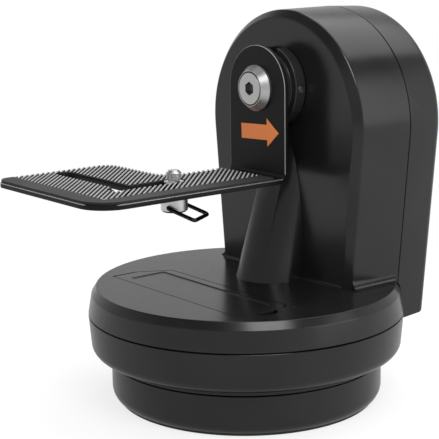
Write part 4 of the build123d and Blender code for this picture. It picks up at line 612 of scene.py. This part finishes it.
charcoal = Finish("charcoal_powder_coat", {"Specular IOR Level": 0.18})
peel = charcoal.noise(700, 3)
rubbed = charcoal.ramp(charcoal.noise(55, 5), 0.45, 0.75)
coat = charcoal.mix(rubbed, (0.004, 0.004, 0.0042, 1), (0.008, 0.008, 0.0083, 1))
across, along, level = [charcoal.along(axis) for axis in "XYZ"]
above = level - tilt_z * mm
above = above.sum("MAXIMUM", above, 0.0)
from_middle = (across * across + above * above) ** 0.5
leg_face = charcoal.past(along, (bracket_y - 0.1, bracket_y)) * (
    1 - charcoal.past(along, (bracket_y + 0.2, bracket_y + 0.3)))
leg_face = leg_face * charcoal.past(level, (plate_top + 1.5, plate_top + 2))
leg_edge = charcoal.past(from_middle, (bracket_half - 0.24, bracket_half - 0.16)) * leg_face
plate_face = charcoal.past(level, (plate_top - 0.3, plate_top - 0.2)) * (
    1 - charcoal.past(along, (bracket_y - 1.5, bracket_y - 1)))
right_side = charcoal.past(across, (bracket_half - 0.7, bracket_half - 0.5))
near_sides = right_side.sum("MAXIMUM", right_side,
                            1 - charcoal.past(along, (plate_front + 0.5, plate_front + 0.7)))
# Painted highlight: the leg's rim and the plate's near edges turn light grey, standing for glints.
edge_glint_mask = leg_edge.sum("MAXIMUM", leg_edge, plate_face * near_sides)
charcoal.colour(edge_glint_mask, coat, (0.24, 0.24, 0.24, 1))
charcoal.roughness(0.3 + rubbed * 0.1 + peel * 0.08)
charcoal.relief(peel, 0.00002)
strip_plate = table(0, bracket_y - bend_r, plate_z, plate_top)
strip_plate = slotted(strip_plate, slot_half, plate_z - over, plate_top + over)
leg = disc((0, tilt_z), bracket_half, bracket_y, bracket_y + bracket_t, axis="Y", sides=96)
leg_box = block(-bracket_half, bracket_half, bracket_y, bracket_y + bracket_t, plate_top + bend_r, tilt_z)
leg = combine(leg, leg_box, "UNION")
corner = bmesh.new()
strip_end = [corner.verts.new(Vector((x, bracket_y - bend_r, z)) * mm) for x, z in
             ((-bracket_half, plate_z), (bracket_half, plate_z), (bracket_half, plate_top),
              (-bracket_half, plate_top))]
corner_face = corner.faces.new(strip_end)
bmesh.ops.spin(corner, geom=[corner_face] + corner_face.edges[:] + strip_end,
               cent=Vector((0, bracket_y - bend_r, plate_top + bend_r)) * mm, axis=(1, 0, 0),
               angle=pi / 2, steps=10)
bmesh.ops.remove_doubles(corner, verts=corner.verts, dist=weld)
bmesh.ops.recalc_face_normals(corner, faces=corner.faces)
arm = combine(combine(strip_plate, corner, "UNION"), leg, "UNION")
bmesh.ops.remove_doubles(arm, verts=arm.verts, dist=seam_weld)
soften(arm, arm_round, sharper_than=60, segments=2)
fit(arm, "camera_arm", charcoal, "bracket_grey", "tilt_arm", "camera_bracket")


# Platform pad: a moulded rubber mat, glued on, with fine ribs at 45 degrees that stop at a plain
# border on the near sides. Black rubber; a painted highlight greys the ribs' tops, and painted shade
# darkens the grooves towards their floor.
pad_low, pad_top, pad_inset, pad_end, pad_margin = 93.1, 94.2, 0.5, 1.5, 0.8
rib_border, rib_pitch, rib_w, rib_turn, groove_floor, overrun = 8.3, 1.8, 0.75, 45, 93.6, 2.0
lane_count, lane_l, mat_middle, field_r, pad_round, blur = 52, 160, (-20, -42), 3, 0.25, 0.1
rib_right, rib_front = bracket_half - rib_border, plate_front + rib_border
pad_rubber = Finish("pad_rubber")
across, along, level = [pad_rubber.along(axis) for axis in "XYZ"]
dust = pad_rubber.noise(60, 5)
# Painted shade and highlight: this mask runs from 0 at the groove floor to 1 at the ribs' tops.
height = pad_rubber.past(level, (groove_floor, pad_top)) ** 3
ribbed = (1 - pad_rubber.past(across, (rib_right - blur, rib_right))) * pad_rubber.past(
    along, (rib_front, rib_front + blur))
# Painted shade: the rubber darkens towards the groove floor.
groove_shaded_rubber = pad_rubber.mix(height, (0.003, 0.003, 0.003, 1), (0.022, 0.022, 0.022, 1))
# Painted highlight: the ribs' tops turn light grey, varied by noise.
pad_rubber.colour(height * ribbed * (dust * 0.6 + 0.7), groove_shaded_rubber, (0.3, 0.3, 0.3, 1))
pad_rubber.roughness(0.45 + dust * 0.25)
pad_rubber.relief(pad_rubber.noise(1900, 3), 0.00002)
pad = table(pad_inset, pad_end, pad_low, pad_top)
pad = slotted(pad, slot_half + pad_margin, pad_low - over, pad_top + over)
soften(pad, pad_round, lambda edge: middle(edge).z > pad_top - 0.01, segments=2, sharper_than=60)
groove_row = bmesh.new()
for step in range(-lane_count, lane_count + 1):
    lane = bmesh.ops.create_cube(groove_row, size=mm)["verts"]
    bmesh.ops.scale(groove_row, verts=lane, vec=(rib_pitch - rib_w, lane_l, (pad_top - groove_floor) * 2))
    bmesh.ops.translate(groove_row, verts=lane, vec=Vector((step * rib_pitch, 0, 0)) * mm)
bmesh.ops.rotate(groove_row, verts=groove_row.verts, matrix=Matrix.Rotation(radians(rib_turn), 3, "Z"))
bmesh.ops.translate(groove_row, verts=groove_row.verts, vec=Vector((*mat_middle, pad_top)) * mm)
rib_field = [(rib_right, pad_end + overrun), (rib_right, rib_front), (plate_left - overrun, rib_front),
             (plate_left - overrun, pad_end + overrun)]
rib_field = rounded(rib_field, [0, field_r, 0, 0], pad_low, pad_top + over)
pad = combine(pad, combine(groove_row, rib_field, "INTERSECT"))
fit(pad, "ribbed_pad", pad_rubber, "pad_rubber", "tilt_arm", "platform_pad")


# Pivot screw: turned from bright steel, with a broad cone under a flat face and a 5 mm hexagon socket.
# Painted shade darkens the socket and the groove near the face's rim. It holds bracket and hub to the shaft.
flange_r, head_r, rim_t, head_t, hex_across, hex_deep = 9.5, 7.4, 1.0, 4.0, 5.0, 2.6
stem_r, stem_l, under_cut, face_y = 3.0, 14.0, 0.1, bracket_y - head_t
# Points of the groove and the edge round the face: how far in from its rim, and how deep.
face_rim = ((0.95, 0), (0.8, 0.45), (0.4, 0.45), (0.3, 0.1), (0.1, 0.1), (0, 0.25))
plated = bright("bright_plate", (0.72, 0.72, 0.72, 1), (0.88, 0.88, 0.87, 1), 0.3, (9, 1, 9), scale=600)
brushed = Finish("brushed_steel", {"Metallic": 1.0})
marks = brushed.noise(600, 3, stretch=(9, 1, 9))
from_face = brushed.node("ShaderNodeVectorMath", {"operation": "DISTANCE"},
                         {0: brushed.place, 1: Vector((0, face_y, tilt_z)) * mm}, output="Value")
# Painted shade: below the face's level, the socket is darkened partly and the groove fully.
socket_shade_share = 0.6 + brushed.past(from_face, (4.5, 5.0)) * 0.4 - brushed.past(from_face, (7.0, 7.2))
recess_shade = brushed.past(brushed.along("Y"), (face_y + 0.12, face_y + 0.4)) * socket_shade_share
brushed.colour(recess_shade, brushed.mix(marks, (0.5, 0.5, 0.5, 1), (0.76, 0.76, 0.75, 1)), (0.07, 0.07, 0.07, 1))
brushed.roughness(0.3 + marks * 0.14)
brushed.relief(marks, 0.000006)
pivot = turned([(0, face_y)] + [(head_r - inwards, face_y + deep) for inwards, deep in face_rim] +
               [(flange_r, bracket_y - rim_t), (flange_r, bracket_y - under_cut),
                (flange_r - under_cut, bracket_y), (stem_r, bracket_y), (stem_r, bracket_y + stem_l),
                (0, bracket_y + stem_l)], centre=(0, 0, tilt_z), axis="Y", steps=96)
pivot = combine(pivot, disc((0, tilt_z), hex_across / 3 ** 0.5, face_y - over, face_y + hex_deep, axis="Y",
                            sides=6))
fit(pivot, "pivot_cap_screw", brushed, "bright_steel", "tilt_arm", "pivot_screw", crease=24)


# Arrow: one plain orange arrow printed on the bracket's front, which points the way the lens looks.
# A thin raised film, turned a little over two degrees from level.
tail_x, tip_x, arrow_z, body_h, head_h, head_l, film_t, skew = -9.9, 13.7, 110.8, 6.3, 11.6, 7.2, 0.15, 2.3
orange = Finish("orange_print")
specks = orange.noise(500, 4)
orange.colour(specks, (0.56, 0.15, 0.028, 1), (0.66, 0.185, 0.037, 1))
orange.roughness(0.42 + specks * 0.2)
orange.relief(orange.noise(1500, 2), 0.000008)
arrow = bmesh.new()
neck_x = tip_x - head_l
rim = [arrow.verts.new(Vector((x, bracket_y, arrow_z + z)) * mm) for x, z in
       ((tail_x, -body_h / 2), (neck_x, -body_h / 2), (neck_x, -head_h / 2), (tip_x, 0), (neck_x, head_h / 2),
        (neck_x, body_h / 2), (tail_x, body_h / 2))]
film = bmesh.ops.extrude_face_region(arrow, geom=[arrow.faces.new(rim)])["geom"]
bmesh.ops.translate(arrow, verts=[point for point in film if isinstance(point, bmesh.types.BMVert)],
                    vec=(0, -film_t * mm, 0))
bmesh.ops.rotate(arrow, verts=arrow.verts, cent=Vector(((tail_x + tip_x) / 2, bracket_y, arrow_z)) * mm,
                 matrix=Matrix.Rotation(-radians(skew), 3, "Y"))
bmesh.ops.recalc_face_normals(arrow, faces=arrow.faces)
fit(arrow, "lens_arrow", orange, "arrow_orange", "tilt_arm", "arrow_mark")


# Camera screw: a quarter inch thread on a plain bright knob, captive in the slot by its slim neck. A clip
# above the plate and a plastic washer below it let it slide but not fall out.
screw_x, screw_y, knob_r, knob_low, knob_top, thread_r, thread_low, thread_top = (
    -6.0, -31.7, 5.5, 81.6, 90.2, 3.175, 95.0, 98.5)
slim_r, clip_low, clip_t, clip_r, clip_seat_r, hinge_z = 2.3, 93.2, 0.7, 3.95, 1.7, 84.0
crest, root, ridge_step, tip_l, tip_cone, tip_in = 0.25, 0.62, thread_pitch * 0.7, 0.9, 0.6, 1.1
knob_foot, knob_round, cross_r, cross_turn = 0.7, 0.5, 0.85, 30
ridges, height = [], thread_low + 0.1
while height < thread_top - tip_l:
    ridges += [(thread_r - root, height), (thread_r, height + crest), (thread_r, height + 2 * crest)]
    height += ridge_step
shank = [(0, knob_low), (knob_r - knob_foot, knob_low), (knob_r, knob_low + knob_foot),
         (knob_r, knob_top - knob_round), (knob_r - knob_round, knob_top), (slim_r, knob_top),
         (slim_r, clip_low), (clip_seat_r, clip_low), (clip_seat_r, clip_low + clip_t),
         (slim_r, clip_low + clip_t), (slim_r, thread_low)]
tip = [(thread_r - root, thread_top - tip_cone), (thread_r - tip_in, thread_top), (0, thread_top)]
screw = turned(shank + ridges + tip, centre=(screw_x, screw_y, 0), steps=64)
cross = disc((0, 0), cross_r, -knob_r - over, knob_r + over, axis="Y", sides=20)
bmesh.ops.rotate(cross, verts=cross.verts, matrix=Matrix.Rotation(radians(cross_turn), 3, "Z"))
bmesh.ops.translate(cross, verts=cross.verts, vec=Vector((screw_x, screw_y, hinge_z)) * mm)
screw = combine(screw, cross)
fit(screw, "quarter_inch_screw", plated, "bright_steel", "screw_turn", "camera_screw")

clip_bore_r, mouth_half, mouth_l, clip_round = clip_seat_r + 0.02, 1.5, 6, 0.12
clip = turned([(clip_bore_r, clip_low), (clip_r, clip_low), (clip_r, clip_low + clip_t),
               (clip_bore_r, clip_low + clip_t)], centre=(screw_x, screw_y, 0), steps=48)
mouth = block(screw_x, screw_x + mouth_l, screw_y - mouth_half, screw_y + mouth_half,
              clip_low - over, clip_low + 2 * over)
clip = combine(clip, mouth)
soften(clip, clip_round, sharper_than=60, segments=2)
fit(clip, "screw_retaining_clip", plated, "bright_steel", "screw_turn", "screw_clip")
dress(tub_black, "slide_washer")


# D-ring: bent from 1.6 mm wire, blackened, its two ends sprung into the knob's cross hole.
# It folds up to turn the screw by hand and falls back by its own weight.
blackened = bright("black_oxide", (0.02, 0.02, 0.022, 1), (0.06, 0.06, 0.065, 1), 0.25, scale=700)
dress(blackened, "d_ring")


# The photograph's camera, and a white studio: a pale floor, two soft panels overhead and one at the right.
# A colour renders about as it is written, and the white that metal mirrors comes from the backdrop.
eye, heading, pitch, roll = Vector((423.0, -346.7, 188.8)), 52.13, -11.71, -0.89
camera = bpy.data.cameras.new("camera")
camera.sensor_width, camera.lens, camera.clip_start = 36.0, 110.2, 0.01
camera.shift_x, camera.shift_y = 0.0196, -0.0036
view_point = bpy.data.objects.new("camera", camera)
view_point.matrix_world = (
    Matrix.Translation(eye * mm) @ Matrix.Rotation(radians(heading), 4, "Z") @
    Matrix.Rotation(radians(90 + pitch), 4, "X") @ Matrix.Rotation(radians(roll), 4, "Z"))
bpy.context.scene.collection.objects.link(view_point)
bpy.context.scene.camera = view_point
bpy.context.scene.view_settings.view_transform = "Standard"


def panel(name, place, aim, size, power):
    """A soft square lamp, aimed at a point."""
    light = bpy.data.lights.new(name, "AREA")
    light.shape, light.size, light.energy = "SQUARE", size, power
    lamp = bpy.data.objects.new(name, light)
    lamp.location = place
    lamp.rotation_euler = (Vector(aim) - Vector(place)).to_track_quat("-Z", "Y").to_euler()
    bpy.context.scene.collection.objects.link(lamp)


panel("top_panel", place=(-0.1, 0.45, 1.1), aim=(0, 0, 0.08), size=1.1, power=6.5)
panel("front_top_panel", place=(0.66, -0.24, 0.92), aim=(0, 0, 0.05), size=0.5, power=4.5)
panel("right_panel", place=(1.0, 0.55, 0.45), aim=(0, 0, 0.08), size=0.8, power=2)

# In mirrored light the room is pale round its back and sides, and dim in front and overhead. Plain
# light comes from all of it alike.
dim_side, dim_from, dim_to, dim_level = Vector((0, -1, 0)), 0.0, 0.6, 0.4
pale_level, top_from, top_to, top_level = 0.66, 0.4, 0.7, 0.15


class Backdrop(Finish):
    """The room all round: the same work with nodes, in a world."""

    def __init__(self, name):
        self.world = bpy.data.worlds.new(name)
        self.world.use_nodes = True
        self.tree = self.world.node_tree
        self.place = self.node("ShaderNodeTexCoord", output="Generated")

    def fade(self, value, start, end, first, last):
        """Goes softly from the first level to the last as a value goes from start to end."""
        return self.node("ShaderNodeMapRange", {"interpolation_type": "SMOOTHSTEP"},
                         {"Value": value, "From Min": start, "From Max": end,
                          "To Min": first, "To Max": last})


room = Backdrop("studio")
bpy.context.scene.world = room.world
facing = room.node("ShaderNodeVectorMath", {"operation": "DOT_PRODUCT"}, {0: room.place, 1: dim_side},
                   output="Value")
walls = room.fade(facing, dim_from, dim_to, pale_level, dim_level)
mirrored_room = walls * room.fade(room.along("Z"), top_from, top_to, 1.0, top_level)
plain_light = 1 - room.node("ShaderNodeLightPath", output="Is Glossy Ray")
air = room.tree.nodes["Background"]
air.inputs["Color"].default_value = (1, 1, 1, 1)
room.feed(air.inputs["Strength"], plain_light.sum("MAXIMUM", mirrored_room, plain_light))

# The floor glows as bright as white paper, a little less near the head so that its shadow shows.
# Mirrored, it is dimmer near the head and in front of it.
floor_size, shadow_from, shadow_to, shadow_share = 4, 0.09, 0.3, 0.25
dim_share, far_from, far_to, far_less, front_more = 0.62, 0.1, 0.35, 0.27, 0.2
ground = bmesh.new()
bmesh.ops.create_grid(ground, x_segments=1, y_segments=1, size=floor_size)
floor_mesh = bpy.data.meshes.new("studio_floor")
ground.to_mesh(floor_mesh)
ground.free()
floor_finish = Finish("studio_floor", {"Base Color": (0.92, 0.92, 0.92, 1), "Roughness": 0.7})
away = floor_finish.node("ShaderNodeVectorMath", {"operation": "LENGTH"}, {0: floor_finish.place},
                         output="Value")
heading_to = floor_finish.node("ShaderNodeVectorMath", {"operation": "NORMALIZE"}, {0: floor_finish.place})
floor_side = floor_finish.node("ShaderNodeVectorMath", {"operation": "DOT_PRODUCT"},
                               {0: heading_to, 1: dim_side}, output="Value")
view, mirrored, through = [floor_finish.node("ShaderNodeLightPath", output=ray) for ray in
                           ("Is Camera Ray", "Is Glossy Ray", "Is Transmission Ray")]
white_card = floor_finish.node("ShaderNodeEmission", None, {"Color": (1, 1, 1, 1), "Strength": 1.0})
dim_card = floor_finish.node("ShaderNodeEmission", None, {"Color": (1, 1, 1, 1), "Strength": dim_level})
glow = floor_finish.ramp(away, shadow_from, shadow_to) * shadow_share + (1 - shadow_share)
painted = Wire(floor_finish, floor_finish.shader.outputs[0])
bare = floor_finish.node("ShaderNodeMixShader", None,
                         {0: glow * (view + mirrored + through), 1: painted, 2: white_card})
dimmed = (dim_share - floor_finish.ramp(away, far_from, far_to) * far_less +
          floor_finish.ramp(floor_side, dim_from, dim_to) * front_more)
blend = floor_finish.node("ShaderNodeMixShader", None, {0: mirrored * dimmed, 1: bare, 2: dim_card})
floor_finish.feed(floor_finish.tree.nodes["Material Output"].inputs["Surface"], blend)
floor_mesh.materials.append(floor_finish.material)
floor = bpy.data.objects.new("studio_floor", floor_mesh)
bpy.context.scene.collection.objects.link(floor)
